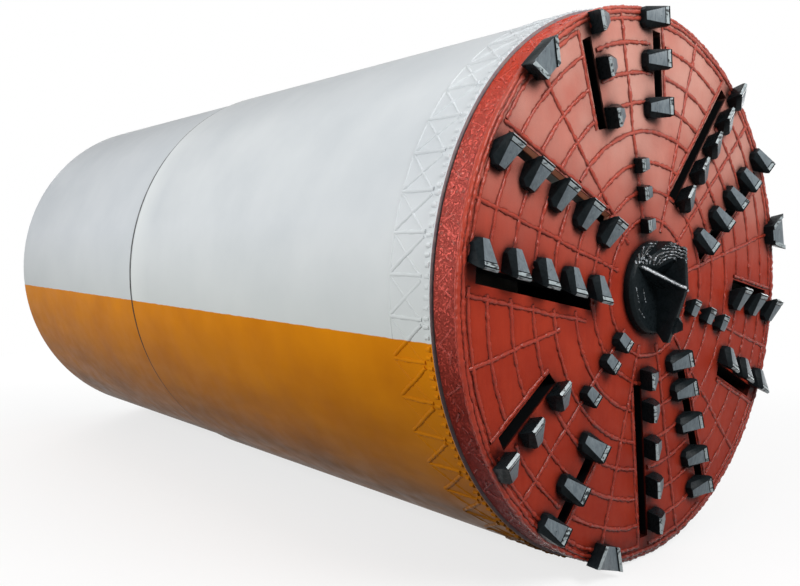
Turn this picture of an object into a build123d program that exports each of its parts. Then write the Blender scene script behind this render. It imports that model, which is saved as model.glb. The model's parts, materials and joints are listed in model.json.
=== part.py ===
"""Pipe jacking shield machine: flat cutterhead, articulated front and rear shields.

The machine's axis lies along Y at the height of the shell's radius, with the cutterhead at -Y.
The origin is on the floor, under the middle of the overall box. All lengths are millimetres.
"""

from build123d import *

import math
import os

# ---------------------------------------------------------------- shields
shell_radius = 1220.0        # outside of the front shield
front_length = 2609.0        # front shield, from its leading edge to the steering seam
rear_length = 2088.0         # rear shield, from the seam to the end of its tail skin
front_wall = 40.0
rear_wall = 35.0
lead_ring_wall = 62.0        # thicker leading ring under the hardfacing
lead_ring_length = 185.0
lead_ring_taper = 30.0       # from the leading ring to the plain wall
lead_chamfer = 20.0          # inside the leading edge

# ---------------------------------------------------------------- steering joint
steer_limit = 2.0            # degrees each way, up and down and to each side
cover_band_wall = 5.0        # thin skin of the front shield that covers the joint
joint_gap = 5.0              # between the cover band and the rear shield
cover_overlap = 30.0         # rear shield inside the cover band
pivot_inset = 9.0            # joint centre ahead of the seam
joint_ring_wall = 34.7       # rear shield's wall round the seal ring
joint_ring_reach = 40.0      # of that wall behind the joint centre
joint_ring_taper = 30.0
seal_depth = 40.0            # radial depth of the seal ring
seal_half_width = 25.0
running_gap = 0.3            # beside the seal ring's spherical faces
spigot_wall = 20.0
spigot_bead_wall = 40.0
spigot_relief = 8.0          # spigot's tube below its spherical bead
frame_plate = 30.0

# ---------------------------------------------------------------- cutterhead drum
drum_inset = 10.0            # drum's radius below the shell's
drum_depth = 120.0
drum_gap = 10.0              # between the drum and the shield's leading edge
drum_chamfer = 10.0
rim_wall = 88.0
panel_plate = 45.0
hub_radius = 415.0
hub_depth = 150.0
hub_taper = 130.0            # from the hub's back to the shaft
shaft_radius = 240.0
shaft_gap = 0.05

# ---------------------------------------------------------------- spokes and slots
clock_angle = -2.5           # the spokes' turn from the 15 degree grid
slot_width = 61.0
slot_offset = 210.0          # from a spoke's centreline to its slot's far edge at the hub
slot_taper = 0.118           # how fast the slots spread from the centreline
short_slot_start = 0.6       # of the drum's radius

# ---------------------------------------------------------------- drag bits, small bits and gauge bits
bit_offset = 123.0           # from a spoke's centreline to its drag bits at the hub
bit_taper = 0.098
bit_length = 118.0           # across the row, towards the slot
bit_width = 88.0
bit_height = 84.0
bit_heel = 0.43              # of its height, at the back of its slope
bit_heel_ridge = 0.19        # half width of the slope there, of its width
bit_tip = 0.1                # bevel in front of the slope, of its length
bit_tip_drop = 0.12          # and of its height
pilot_length = 80.0
pilot_width = 64.0
pilot_height = 56.0
pilot_heel = 0.7
pilot_heel_ridge = 0.36
insert_back = 23.0           # from a bit's edge to the groove behind its insert
insert_groove = 4.0          # width and depth
gauge_seat = 85.0            # from the drum's edge inwards
gauge_overcut = 6.0          # beyond the shield's radius
gauge_inner_half = 52.0      # half widths of the cutting edges
gauge_outer_half = 98.0
gauge_undercut = 0.85        # foot's width as a share of the edges'
gauge_height = 66.0
gauge_inner_height = 58.0
gauge_insert = 24.0          # width of the insert along each side
gauge_groove = 8.0           # depth of the flat between the inserts

# angle in degrees, slots reach the hub, drag bits' and small bits' tracks as shares of the drum's radius
SPOKES = (
    (165.0, True, (0.336, 0.481, 0.625, 0.769, 0.917), ()),
    (105.0, False, (0.636, 0.802, 0.950), (0.233, 0.350, 0.450)),
    (45.0, True, (0.370, 0.519, 0.660, 0.797, 0.940), ()),
    (-15.0, False, (0.625, 0.769, 0.922), (0.283, 0.407, 0.522)),
    (-75.0, True, (0.315, 0.434, 0.574, 0.719, 0.855), ()),
    (-135.0, False, (0.633, 0.797, 0.945), (0.272, 0.373, 0.521)),
)
GAUGE_ANGLES = (135.0, 15.0, -105.0)

# ---------------------------------------------------------------- centre bit
boss_radius = 206.0
boss_height = 42.0
boss_chamfer = 14.0
blade_plate = 22.0
blade_reach = 180.0          # tip ahead of the drum's face
blade_tip_drop = 12.0        # upper corner behind the tip
blade_top_inset = 28.0       # upper corner inside the boss's edge
blade_overhang = 31.0        # lower corner beyond the boss's edge
blade_bottom_height = 98.0
blade_bottom_edge = 22.0
wing_inset = 19.0            # wings' base inside the boss's edge
wing_plate = 20.0
wing_lean = 56.0             # degrees from the blade
brace_top_drop = 20.0        # braces beside the blade, behind its front edge
brace_outer_height = 100.0
brace_inner_height = 98.0
brace_inner_radius = 85.0
brace_step_radius = 150.0
brace_low_height = 54.0      # where they run out at the wings

# ---------------------------------------------------------------- bulkhead and drive
bulkhead_station = 430.0     # from the leading edge
bulkhead_plate = 50.0
manhole_margin = 35.0        # round the cover, to the shell and to the drive's flange
cover_plate = 25.0
cover_lap = 40.0
housing_radius = 540.0
housing_length = 430.0
housing_chamfer = 30.0
housing_flange_lap = 70.0
housing_flange = 40.0
shaft_seat = 300.0
shaft_end_gap = 20.0
motor_count = 6
motor_inset = 170.0          # motors' circle inside the housing's radius
gearbox_radius = 115.0
gearbox_length = 280.0
gearbox_flange_lap = 25.0
gearbox_flange = 30.0
motor_radius = 92.0
motor_length = 330.0
motor_flange = 24.0

# ---------------------------------------------------------------- slurry pipes, valves and floors
pipe_radius = 84.0
pipe_wall = 7.0
pipe_flange_radius = 142.0
pipe_flange = 24.0
flange_bolt_circle = 120.0   # radius
flange_bolts = 8
flange_hole = 11.0           # radius
pipe_offset = 300.0
pipe_rise = 360.0            # above the rear shield's lowest inner line
front_pipe_end = 2380.0      # from the leading edge
rear_pipe_start = 200.0      # from the seam
tail_pipe_setback = 10.0     # from the thrust face
saddle_width = 200.0
saddle_plate = 20.0
saddle_inset = 300.0         # from a pipe's ends
valve_station = 160.0        # from the bulkhead
valve_length = 170.0
valve_radius = 118.0
bonnet_half_width = 70.0
bonnet_plate = 80.0
bonnet_rise = 190.0          # above a pipe's centreline
spindle_radius = 30.0
spindle_rise = 18.0
floor_rise = 555.0           # above the rear shield's lowest inner line
floor_plate = 12.0
floor_gap = 0.3              # at the long edges
front_floor_start = 820.0    # from the bulkhead
front_floor_end_gap = 160.0
rear_floor_start = 360.0     # from the seam
rear_floor_end_gap = 180.0   # to the thrust ring

# ---------------------------------------------------------------- steering cylinders
cylinder_inset = 215.0       # cylinders' circle inside the rear shield's inner wall
barrel_radius = 80.0
barrel_length = 400.0
barrel_head_lap = 12.0
barrel_head_length = 50.0
barrel_end_station = 2420.0  # from the leading edge
rod_radius = 45.0
rod_gap = 0.05
rod_inside = 110.0
barrel_bore_spare = 60.0     # bore beyond the rod's inner end
eye_setback = 140.0          # rod eye behind the joint centre
eye_radius = 55.0
eye_plate = 45.0
eye_neck = 75.0              # flat tongue between a rod's round and its eye
eye_play = 8.0
pin_radius = 25.0
pin_overhang = 10.0          # beyond each ear
ear_plate = 25.0
ear_gap = 66.0
base_gap = 1.0               # between a barrel's tongue and each ear
base_pin_gap = 0.5
lug_setback = 70.0           # from a barrel's closed end to its base pin
ear_half = 50.0              # round a pin, in each direction
ear_root = 100.0             # how far an ear's root runs on beyond its pin

# ---------------------------------------------------------------- tail
tail_skin_wall = 16.0
tail_socket = 130.0
thrust_ring_depth = 150.0
thrust_ring_plate = 60.0
gusset_count = 12
gusset_plate = 20.0
gusset_length = 150.0
gusset_depth = 130.0
ring_frame_depth = 75.0
target_size = 260.0
target_plate = 16.0
target_drop = 100.0          # below the ring frame's inner edge
hanger_width = 20.0
cabinet_width = 330.0
cabinet_height = 880.0
cabinet_length = 560.0
cabinet_gap = 58.0           # to the floor's long edge
tank_height = 485.0
tank_length = 900.0
pump_motor_radius = 110.0
pump_motor_length = 380.0
pump_radius = 60.0
pump_length = 150.0
pump_foot_width = 150.0
pump_foot_height = 45.0

# ---------------------------------------------------------------- places that follow
overall = blade_reach + drum_depth + drum_gap + front_length + rear_length
axis_z = shell_radius
face_y = blade_reach - overall / 2
drum_radius = shell_radius - drum_inset
drum_back_y = face_y + drum_depth
lead_y = drum_back_y + drum_gap
seam_y = lead_y + front_length
tail_y = seam_y + rear_length
pivot_y = seam_y - pivot_inset
bulkhead_y = lead_y + bulkhead_station
bulkhead_back_y = bulkhead_y + bulkhead_plate
front_inner = shell_radius - front_wall
rear_radius = shell_radius - cover_band_wall - joint_gap
rear_inner = rear_radius - rear_wall
rear_lead_y = seam_y - cover_overlap
joint_bore = rear_inner - joint_ring_wall
seal_outer = joint_bore - running_gap
bead_radius = seal_outer - seal_depth
tilt = math.radians(steer_limit) * math.sqrt(2)
wall_end_y = rear_lead_y - rear_radius * math.sin(tilt) - joint_gap
thrust_y = tail_y - tail_socket
mid_frame_y = (seam_y + tail_y) / 2
ring_frame_inner = rear_inner - ring_frame_depth
pipe_drop = rear_inner - pipe_rise
floor_drop = rear_inner - floor_rise
cylinder_circle = rear_inner - cylinder_inset
MACHINE_AXIS = Axis((0, 0, axis_z), (0, 1, 0))

os.makedirs("parts", exist_ok=True)


def keep(name, *solids):
    """Writes one node from its solids."""
    shape = solids[0] if len(solids) == 1 else Compound(children=list(solids))
    export_step(shape, f"parts/{name}.step")


def turned(*profile, arc=360.0):
    """A solid of revolution about the machine's axis, from (y, radius) corners."""
    corners = [(0, y, axis_z + radius) for y, radius in profile]
    return revolve(make_face(Polyline(*corners, close=True)), MACHINE_AXIS, arc)


def turned_crowned(corners, crown_radius):
    """A solid of revolution whose outline closes with an arc about the joint's centre."""
    middle = (0, pivot_y, axis_z + crown_radius)
    places = [(0, y, axis_z + radius) for y, radius in corners]
    outline = Polyline(*places) + ThreePointArc(places[-1], middle, places[0])
    return revolve(make_face(outline), MACHINE_AXIS)


def ring(start_y, end_y, outer, inner):
    """A plain ring about the machine's axis."""
    return turned((start_y, inner), (start_y, outer), (end_y, outer), (end_y, inner))


def bar(x, z, start_y, end_y, radius):
    """A round bar along Y at x and z from the machine's axis."""
    section = Plane(origin=(x, start_y, axis_z + z), x_dir=(1, 0, 0), z_dir=(0, 1, 0)) * Circle(radius)
    return extrude(section, end_y - start_y)


def block(low_x, high_x, start_y, end_y, low_z, high_z):
    """A square block, with its heights from the machine's axis."""
    size = Box(high_x - low_x, end_y - start_y, high_z - low_z)
    return Pos((low_x + high_x) / 2, (start_y + end_y) / 2, axis_z + (low_z + high_z) / 2) * size


def face_place(along, across, angle):
    """A place on the drum's face: x' points away from the axis, z' ahead of the face."""
    plane = Plane(origin=(0, face_y, axis_z), x_dir=(1, 0, 0), z_dir=(0, -1, 0))
    return plane * Rot(0, 0, angle + clock_angle) * Pos(along, across, 0)


def polygon(points):
    """A flat face from its corners."""
    return make_face(Polyline(*points, close=True))


# ================================================================ cutterhead
def slot_edge(along, side):
    """Distance of a slot's near (side 0) or far (side 1) edge from the spoke's centreline."""
    return slot_offset + slot_taper * (along - hub_radius) - slot_width * (1 - side)


def spoke_plan(reach):
    """The outline of one spoke, from inside the hub out past the rim's inner wall."""
    root = hub_radius * 0.8
    return (
        (root, -slot_edge(root, 0)),
        (reach, -slot_edge(reach, 0)),
        (reach, slot_edge(reach, 0)),
        (root, slot_edge(root, 0)),
    )


def slot_plan(start, end, side):
    """One slot's outline beside a spoke."""
    return (
        (start, side * slot_edge(start, 0)),
        (end, side * slot_edge(end, 0)),
        (end, side * slot_edge(end, 1)),
        (start, side * slot_edge(start, 1)),
    )


rim_inner = drum_radius - rim_wall
past_rim = rim_inner + rim_wall / 2
web_zone = ring(face_y, drum_back_y, rim_inner, hub_radius)
panel_zone = ring(face_y, face_y + panel_plate, rim_inner, hub_radius)
spokes = []
for angle, to_hub, tracks, pilots in SPOKES:
    here = face_place(0, 0, angle)
    bar_of_spoke = here * extrude(polygon(spoke_plan(past_rim)), -drum_depth)
    spokes.append(web_zone & bar_of_spoke)
    panel_zone -= bar_of_spoke
    slot_start = hub_radius * 0.9 if to_hub else short_slot_start * drum_radius
    for side in (-1, 1):
        panel_zone -= here * extrude(polygon(slot_plan(slot_start, past_rim, side)), -drum_depth)
keep("cutterhead_spokes", *spokes)
keep("cutterhead_panels", *panel_zone.solids())
keep("cutterhead_rim", turned(
    (face_y, rim_inner),
    (face_y, drum_radius - drum_chamfer),
    (face_y + drum_chamfer, drum_radius),
    (drum_back_y, drum_radius),
    (drum_back_y, rim_inner),
))

shaft_end_y = bulkhead_back_y + shaft_seat
keep("cutterhead_hub", turned(
    (face_y, 0),
    (face_y, hub_radius),
    (face_y + hub_depth, hub_radius),
    (face_y + hub_depth + hub_taper, shaft_radius),
    (shaft_end_y, shaft_radius),
    (shaft_end_y, 0),
))


def bit_end(x, shoulder, ridge, top, half):
    """Outline of a drag bit across its length, at one place along it."""
    plane = Plane(origin=(x, 0, 0), x_dir=(0, 1, 0), z_dir=(1, 0, 0))
    return plane * polygon(((-half, 0), (-half, shoulder), (-ridge, top), (ridge, top), (half, shoulder), (half, 0)))


def cutter(length, width, height, heel, heel_ridge):
    """A drag bit that faces +x': a back slope, a bevelled tip and an edge over its undercut front."""
    front, half, nose = length / 2, width / 2, width * 0.3
    heel_height, foot = height * heel, length * 0.26
    crest, edge_height = front - length * bit_tip, height * (1 - bit_tip_drop)
    plan = (
        (-front, -nose), (-front * 0.64, -half), (front, -half),
        (front, half), (-front * 0.64, half), (-front, nose),
    )
    side = ((-front, 0), (-front, height), (front, height), (foot, 0))
    body = loft([
        bit_end(-front, heel_height * 0.3, width * heel_ridge, heel_height, half),
        bit_end(crest, height * 0.72, width * 0.43, height, half),
        bit_end(front, edge_height * 0.8, width * 0.43, edge_height, half),
    ], ruled=True)
    body &= extrude(polygon(plan), height * 2)
    side_plane = Plane(origin=(0, width, 0), x_dir=(1, 0, 0), z_dir=(0, -1, 0))
    body &= extrude(side_plane * polygon(side), width * 2)
    slope = math.degrees(math.atan((height - heel_height) / (front + crest)))
    groove = Box(insert_groove, width * 2, insert_groove * 2)
    for back in (insert_groove, insert_back):
        body -= Pos(crest, 0, height) * Rot(0, -slope, 0) * Pos(-back, 0, 0) * groove
    return body


spread = math.degrees(math.atan(slot_taper))
drag_bit = cutter(bit_length, bit_width, bit_height, bit_heel, bit_heel_ridge)
pilot_bit = cutter(pilot_length, pilot_width, pilot_height, pilot_heel, pilot_heel_ridge)
pilot_bits = []
for number, (angle, to_hub, tracks, pilots) in enumerate(SPOKES, 1):
    row = []
    for side in (-1, 1):
        for track in tracks:
            along = track * drum_radius
            across = bit_offset + bit_taper * (along - hub_radius)
            row.append(face_place(along, side * across, angle) * Rot(0, 0, side * (90 + spread)) * drag_bit)
    keep(f"spoke_cutters_{number}", *row)
    for track in pilots:
        pilot_bits.append(face_place(track * drum_radius, 0, angle) * Rot(0, 0, 90) * pilot_bit)
keep("pilot_cutters", *pilot_bits)


def gauge_section(along, edge_half, edge_height):
    """Outline of a gauge bit across its length, at one distance from the axis."""
    foot = edge_half * gauge_undercut
    flat = edge_half - gauge_insert
    plane = Plane(origin=(along, 0, 0), x_dir=(0, 1, 0), z_dir=(1, 0, 0))
    return plane * polygon((
        (-foot, 0), (-edge_half, edge_height), (-flat, edge_height), (-flat, edge_height - gauge_groove),
        (flat, edge_height - gauge_groove), (flat, edge_height), (edge_half, edge_height), (foot, 0),
    ))


gauge_end = math.sqrt((shell_radius + gauge_overcut) ** 2 - gauge_outer_half ** 2)
gauge_bit = loft([
    gauge_section(drum_radius - gauge_seat, gauge_inner_half, gauge_inner_height),
    gauge_section(gauge_end, gauge_outer_half, gauge_height),
], ruled=True)
keep("gauge_cutters", *[face_place(0, 0, angle) * gauge_bit for angle in GAUGE_ANGLES])

boss_top_y = face_y - boss_height
keep("centre_boss", turned(
    (face_y, 0),
    (face_y, boss_radius),
    (boss_top_y + boss_chamfer, boss_radius),
    (boss_top_y, boss_radius - boss_chamfer),
    (boss_top_y, 0),
))
blade_plane = Plane(origin=(-blade_plate / 2, 0, axis_z), x_dir=(0, 1, 0), z_dir=(1, 0, 0))
centre_blade = extrude(blade_plane * polygon((
    (boss_top_y, boss_radius - blade_top_inset - blade_plate / 6),
    (face_y - blade_reach + blade_tip_drop, boss_radius - blade_top_inset),
    (face_y - blade_reach, 0),
    (face_y - blade_bottom_height, -boss_radius - blade_overhang),
    (face_y - blade_bottom_height + blade_bottom_edge, -boss_radius - blade_overhang),
    (boss_top_y, -boss_radius + boss_chamfer),
)), blade_plate)
wing_plane = Plane(origin=(-wing_plate / 2, 0, axis_z), x_dir=(0, 1, 0), z_dir=(1, 0, 0))
wing = extrude(wing_plane * polygon((
    (boss_top_y, 0), (boss_top_y, boss_radius - wing_inset), (face_y - blade_reach, 0),
)), wing_plate)
blade_top = boss_radius - blade_top_inset
blade_side = Plane(origin=(-blade_plate / 4, 0, axis_z), x_dir=(0, 1, 0), z_dir=(1, 0, 0))
wing_side = Plane(origin=(0, 0, axis_z), x_dir=(0, 1, 0), z_dir=(1, 0, 0)).rotated((0, -wing_lean, 0))
brace = loft([
    blade_side * polygon((
        (boss_top_y, brace_inner_radius),
        (face_y - brace_inner_height, brace_inner_radius),
        (face_y - blade_reach + brace_top_drop, brace_step_radius),
        (face_y - blade_reach + brace_top_drop, blade_top),
        (face_y - brace_outer_height, boss_radius),
        (boss_top_y, boss_radius),
    )),
    wing_side * polygon((
        (boss_top_y, brace_inner_radius),
        (boss_top_y - wing_plate / 4, brace_inner_radius),
        (face_y - brace_low_height, (brace_inner_radius + brace_step_radius) / 2),
        (face_y - brace_low_height, brace_step_radius),
        (boss_top_y - wing_plate / 4, boss_radius - wing_inset),
        (boss_top_y, boss_radius - wing_inset),
    )),
], ruled=True)
half_turn = wing.rotate(MACHINE_AXIS, -wing_lean) + brace
centre_blade += half_turn
centre_blade += half_turn.rotate(MACHINE_AXIS, 180)
keep("centre_blade", centre_blade)

# ================================================================ front shield
keep("front_shell", turned(
    (lead_y, shell_radius - lead_ring_wall + lead_chamfer),
    (lead_y, shell_radius),
    (seam_y, shell_radius),
    (seam_y, shell_radius - cover_band_wall),
    (wall_end_y, shell_radius - cover_band_wall),
    (wall_end_y, front_inner),
    (lead_y + lead_ring_length + lead_ring_taper, front_inner),
    (lead_y + lead_ring_length, shell_radius - lead_ring_wall),
    (lead_y + lead_chamfer, shell_radius - lead_ring_wall),
))

housing_bore = shaft_radius + shaft_gap
housing_flange_radius = housing_radius + housing_flange_lap
housing_end_y = bulkhead_back_y + housing_length
manhole_height = (housing_flange_radius + front_inner) / 2
cover_radius = (front_inner - housing_flange_radius) / 2 - manhole_margin
bulkhead = ring(bulkhead_y, bulkhead_back_y, front_inner, housing_bore)
bulkhead -= bar(0, manhole_height, bulkhead_y, bulkhead_back_y, cover_radius - cover_lap)
for side in (-1, 1):
    bulkhead -= bar(side * pipe_offset, -pipe_drop, bulkhead_y, bulkhead_back_y, pipe_radius - pipe_wall)
keep("front_bulkhead", bulkhead)
keep("manhole_cover", bar(0, manhole_height, bulkhead_back_y, bulkhead_back_y + cover_plate, cover_radius))
keep("drive_housing", turned(
    (bulkhead_back_y, housing_bore),
    (bulkhead_back_y, housing_flange_radius),
    (bulkhead_back_y + housing_flange, housing_flange_radius),
    (bulkhead_back_y + housing_flange, housing_radius),
    (housing_end_y - housing_chamfer, housing_radius),
    (housing_end_y, housing_radius - housing_chamfer),
    (housing_end_y, 0),
    (shaft_end_y + shaft_end_gap, 0),
    (shaft_end_y + shaft_end_gap, housing_bore),
))

gearbox_end_y = housing_end_y + gearbox_length
gearboxes = []
motors = []
for index in range(motor_count):
    turn = math.radians(90 + index * 360 / motor_count)
    x = (housing_radius - motor_inset) * math.cos(turn)
    z = (housing_radius - motor_inset) * math.sin(turn)
    gearbox = bar(x, z, housing_end_y, gearbox_end_y, gearbox_radius)
    gearbox += bar(x, z, housing_end_y, housing_end_y + gearbox_flange, gearbox_radius + gearbox_flange_lap)
    gearboxes.append(gearbox)
    motor = bar(x, z, gearbox_end_y, gearbox_end_y + motor_length, motor_radius)
    motor += bar(x, z, gearbox_end_y, gearbox_end_y + motor_flange, gearbox_radius)
    motors.append(motor)
keep("drive_gearboxes", *gearboxes)
keep("drive_motors", *motors)

# ---------------------------------------------------------------- slurry pipes and floors
front_end_y = lead_y + front_pipe_end
rear_start_y = seam_y + rear_pipe_start
rear_end_y = thrust_y - tail_pipe_setback


def slurry_pipe(x, start_y, end_y):
    """A straight pipe with a flange at each end."""
    pipe = bar(x, -pipe_drop, start_y, end_y, pipe_radius)
    for flange_y in (start_y, end_y - pipe_flange):
        pipe += bar(x, -pipe_drop, flange_y, flange_y + pipe_flange, pipe_flange_radius)
    return pipe - bar(x, -pipe_drop, start_y, end_y, pipe_radius - pipe_wall)


def drilled_end(pipe, x, end_y):
    """The same pipe with bolt holes in the flange at its back end."""
    for hole in PolarLocations(flange_bolt_circle, flange_bolts):
        place = hole.position
        pipe -= bar(x + place.X, -pipe_drop + place.Y, end_y - pipe_flange, end_y, flange_hole)
    return pipe


def saddle(side, station_y, inner_radius):
    """A plate that carries one pipe on the shell."""
    x = side * pipe_offset
    half = saddle_width / 2
    plate = block(x - half, x + half, station_y, station_y + saddle_plate, -inner_radius, -pipe_drop)
    plate &= ring(station_y, station_y + saddle_plate, inner_radius, hub_radius)
    return plate - bar(x, -pipe_drop, station_y, station_y + saddle_plate, pipe_radius)


def gate_valve(x, start_y):
    """A valve's round body about a pipe, with its flat bonnet and spindle above."""
    middle_y = start_y + valve_length / 2
    bonnet_y = middle_y - bonnet_plate / 2
    valve = bar(x, -pipe_drop, start_y, start_y + valve_length, valve_radius)
    valve += block(x - bonnet_half_width, x + bonnet_half_width, bonnet_y, bonnet_y + bonnet_plate,
                   -pipe_drop, -pipe_drop + bonnet_rise)
    spindle = Pos(x, middle_y, axis_z - pipe_drop + bonnet_rise) * extrude(Circle(spindle_radius), spindle_rise)
    return valve + spindle - bar(x, -pipe_drop, start_y, start_y + valve_length, pipe_radius)


def floor_half(inner_radius):
    """Half the width of a floor whose long edges rest on a round wall."""
    return math.sqrt(inner_radius ** 2 - floor_drop ** 2) - floor_gap


def floor_between(start_y, end_y, inner_radius):
    """A floor plate from wall to wall."""
    half = floor_half(inner_radius)
    return block(-half, half, start_y, end_y, -floor_drop, -floor_drop + floor_plate)


pipe_places = (-pipe_offset, pipe_offset)
keep("front_slurry_pipes", *[slurry_pipe(x, bulkhead_back_y, front_end_y) for x in pipe_places])
keep("rear_slurry_pipes", *[drilled_end(slurry_pipe(x, rear_start_y, rear_end_y), x, rear_end_y) for x in pipe_places])
keep("slurry_valves", *[gate_valve(x, bulkhead_back_y + valve_station) for x in pipe_places])
front_saddles_y = (bulkhead_back_y + valve_station + valve_length + saddle_inset, front_end_y - saddle_inset)
rear_saddles_y = (rear_start_y + saddle_inset, rear_end_y - saddle_inset)
keep("front_pipe_saddles", *[saddle(side, y, front_inner) for y in front_saddles_y for side in (-1, 1)])
keep("rear_pipe_saddles", *[saddle(side, y, rear_inner) for y in rear_saddles_y for side in (-1, 1)])
front_floor_y = bulkhead_back_y + front_floor_start
keep("front_floor", floor_between(front_floor_y, wall_end_y - front_floor_end_gap, front_inner))

# ---------------------------------------------------------------- steering joint
frame_end_y = wall_end_y - frame_plate
frame_start_y = frame_end_y - frame_plate
bead_start_y = pivot_y - seal_half_width
bead_end_y = pivot_y + seal_half_width
spigot_outer = bead_radius - spigot_relief
bead_edge = math.sqrt(bead_radius ** 2 - seal_half_width ** 2)
seal_edge = math.sqrt(seal_outer ** 2 - seal_half_width ** 2)
keep("front_spigot", turned_crowned((
    (bead_end_y, bead_edge),
    (bead_end_y, bead_radius - spigot_bead_wall),
    (bead_start_y, bead_radius - spigot_bead_wall),
    (bead_start_y, spigot_outer - spigot_wall),
    (frame_start_y, spigot_outer - spigot_wall),
    (frame_start_y, front_inner),
    (frame_end_y, front_inner),
    (frame_end_y, spigot_outer),
    (bead_start_y, spigot_outer),
    (bead_start_y, bead_edge),
), bead_radius))
keep("articulation_seal", turned_crowned((
    (bead_end_y, seal_edge),
    (bead_end_y, bead_radius + running_gap),
    (bead_start_y, bead_radius + running_gap),
    (bead_start_y, seal_edge),
), seal_outer))

# ---------------------------------------------------------------- steering cylinders
barrel_end_y = lead_y + barrel_end_station
barrel_start_y = barrel_end_y - barrel_length
lug_y = barrel_start_y - lug_setback
eye_y = pivot_y + eye_setback
ROD_PLACES = (("top", 90), ("left", 180), ("bottom", -90), ("right", 0))


def around(angle):
    """A frame at one cylinder: x' away from the axis, y' along the tangent, z' to the front."""
    plane = Plane(origin=(0, 0, axis_z), x_dir=(1, 0, 0), z_dir=(0, -1, 0))
    return plane * Rot(0, 0, angle)


def ear_pair(profile, half_gap):
    """Two like plates from a (y, radius) outline, one each side of the cylinder's plane."""
    ears = []
    for low in (half_gap, -half_gap - ear_plate):
        plane = Plane(origin=(0, low, 0), x_dir=(1, 0, 0), z_dir=(0, 1, 0))
        ears.append(extrude(plane * polygon([(radius, y) for y, radius in profile]), ear_plate))
    return ears


def cross_pin(y, radius, length):
    """A pin across a cylinder's plane."""
    plane = Plane(origin=(cylinder_circle, -length / 2, -y), x_dir=(1, 0, 0), z_dir=(0, 1, 0))
    return extrude(plane * Circle(radius), length)


def along_bar(start_y, end_y, radius):
    """A bar on a cylinder's own centreline."""
    return Pos(cylinder_circle, 0, -end_y) * extrude(Circle(radius), end_y - start_y)


def tongue(start_y, end_y):
    """A flat between a cylinder's round and its eye."""
    return Pos(cylinder_circle, 0, -(start_y + end_y) / 2) * Box(2 * rod_radius, eye_plate, end_y - start_y)


base_half_gap = eye_plate / 2 + base_gap
base_profile = (
    (lug_y - ear_half, cylinder_circle - ear_half),
    (lug_y + ear_half, cylinder_circle - ear_half),
    (lug_y + ear_half, cylinder_circle + ear_half),
    (lug_y, front_inner + front_wall / 2),
    (lug_y - ear_half - ear_root, front_inner + front_wall / 2),
)
clevis_profile = (
    (eye_y - ear_half, cylinder_circle - ear_half),
    (eye_y + ear_half, cylinder_circle - ear_half),
    (eye_y + ear_half + ear_root, rear_inner + rear_wall / 2),
    (eye_y, rear_inner + rear_wall / 2),
    (eye_y - ear_half, cylinder_circle + ear_half),
)
front_bore = ring(lead_y, seam_y, front_inner, hub_radius)
rear_bore = ring(rear_lead_y, tail_y, rear_inner, hub_radius)
barrels = []
barrel_lugs = []
barrel_pins = []
rod_lugs = []
rod_pins = []
for name, angle in ROD_PLACES:
    here = around(angle)
    barrel = along_bar(barrel_start_y, barrel_end_y, barrel_radius)
    barrel += along_bar(barrel_end_y - barrel_head_length, barrel_end_y, barrel_radius + barrel_head_lap)
    barrel += tongue(lug_y, barrel_start_y)
    barrel += cross_pin(lug_y, eye_radius, eye_plate)
    barrel -= cross_pin(lug_y, pin_radius, eye_plate)
    barrel -= along_bar(barrel_end_y - rod_inside - barrel_bore_spare, barrel_end_y, rod_radius + rod_gap)
    barrels.append(here * barrel)
    base_pin = here * cross_pin(lug_y, pin_radius - base_pin_gap, 2 * (base_half_gap + ear_plate + pin_overhang))
    barrel_pins.append(base_pin)
    barrel_lugs += [((here * ear) & front_bore) - base_pin for ear in ear_pair(base_profile, base_half_gap)]
    rod = along_bar(barrel_end_y - rod_inside, eye_y - eye_neck, rod_radius)
    rod += tongue(eye_y - eye_neck, eye_y)
    rod += cross_pin(eye_y, eye_radius, eye_plate)
    rod -= cross_pin(eye_y, pin_radius + eye_play, eye_plate)
    keep(f"steering_rod_{name}", here * rod)
    rod_pin = here * cross_pin(eye_y, pin_radius, ear_gap + 2 * (ear_plate + pin_overhang))
    rod_pins.append(rod_pin)
    rod_lugs += [((here * ear) & rear_bore) - rod_pin for ear in ear_pair(clevis_profile, ear_gap / 2)]
keep("steering_barrels", *barrels)
keep("barrel_lugs", *barrel_lugs)
keep("barrel_pins", *barrel_pins)
keep("rod_lugs", *rod_lugs)
keep("rod_pins", *rod_pins)

# ================================================================ rear shield
rear_edge_chamfer = joint_gap / 2
keep("rear_shell", turned(
    (rear_lead_y, joint_bore),
    (rear_lead_y, rear_radius - rear_edge_chamfer),
    (rear_lead_y + 2 * rear_edge_chamfer, rear_radius),
    (tail_y, rear_radius),
    (tail_y, rear_radius - tail_skin_wall),
    (thrust_y, rear_radius - tail_skin_wall),
    (thrust_y, rear_inner),
    (pivot_y + joint_ring_reach + joint_ring_taper, rear_inner),
    (pivot_y + joint_ring_reach, joint_bore),
))
thrust_front_y = thrust_y - thrust_ring_plate
thrust_ring = ring(thrust_front_y, thrust_y, rear_inner, rear_inner - thrust_ring_depth)
gusset_plane = Plane(origin=(-gusset_plate / 2, 0, axis_z), x_dir=(0, 1, 0), z_dir=(1, 0, 0))
gusset = extrude(gusset_plane * polygon((
    (thrust_front_y - gusset_length, rear_inner),
    (thrust_front_y, rear_inner),
    (thrust_front_y, rear_inner - gusset_depth),
)), gusset_plate) & rear_bore
for index in range(gusset_count):
    thrust_ring += gusset.rotate(MACHINE_AXIS, index * 360 / gusset_count)
keep("thrust_ring", thrust_ring)
keep("rear_ring_frame", ring(mid_frame_y, mid_frame_y + frame_plate, rear_inner, ring_frame_inner))
rear_floor_end_y = thrust_front_y - rear_floor_end_gap
keep("rear_floor", floor_between(seam_y + rear_floor_start, rear_floor_end_y, ring_frame_inner))

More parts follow.
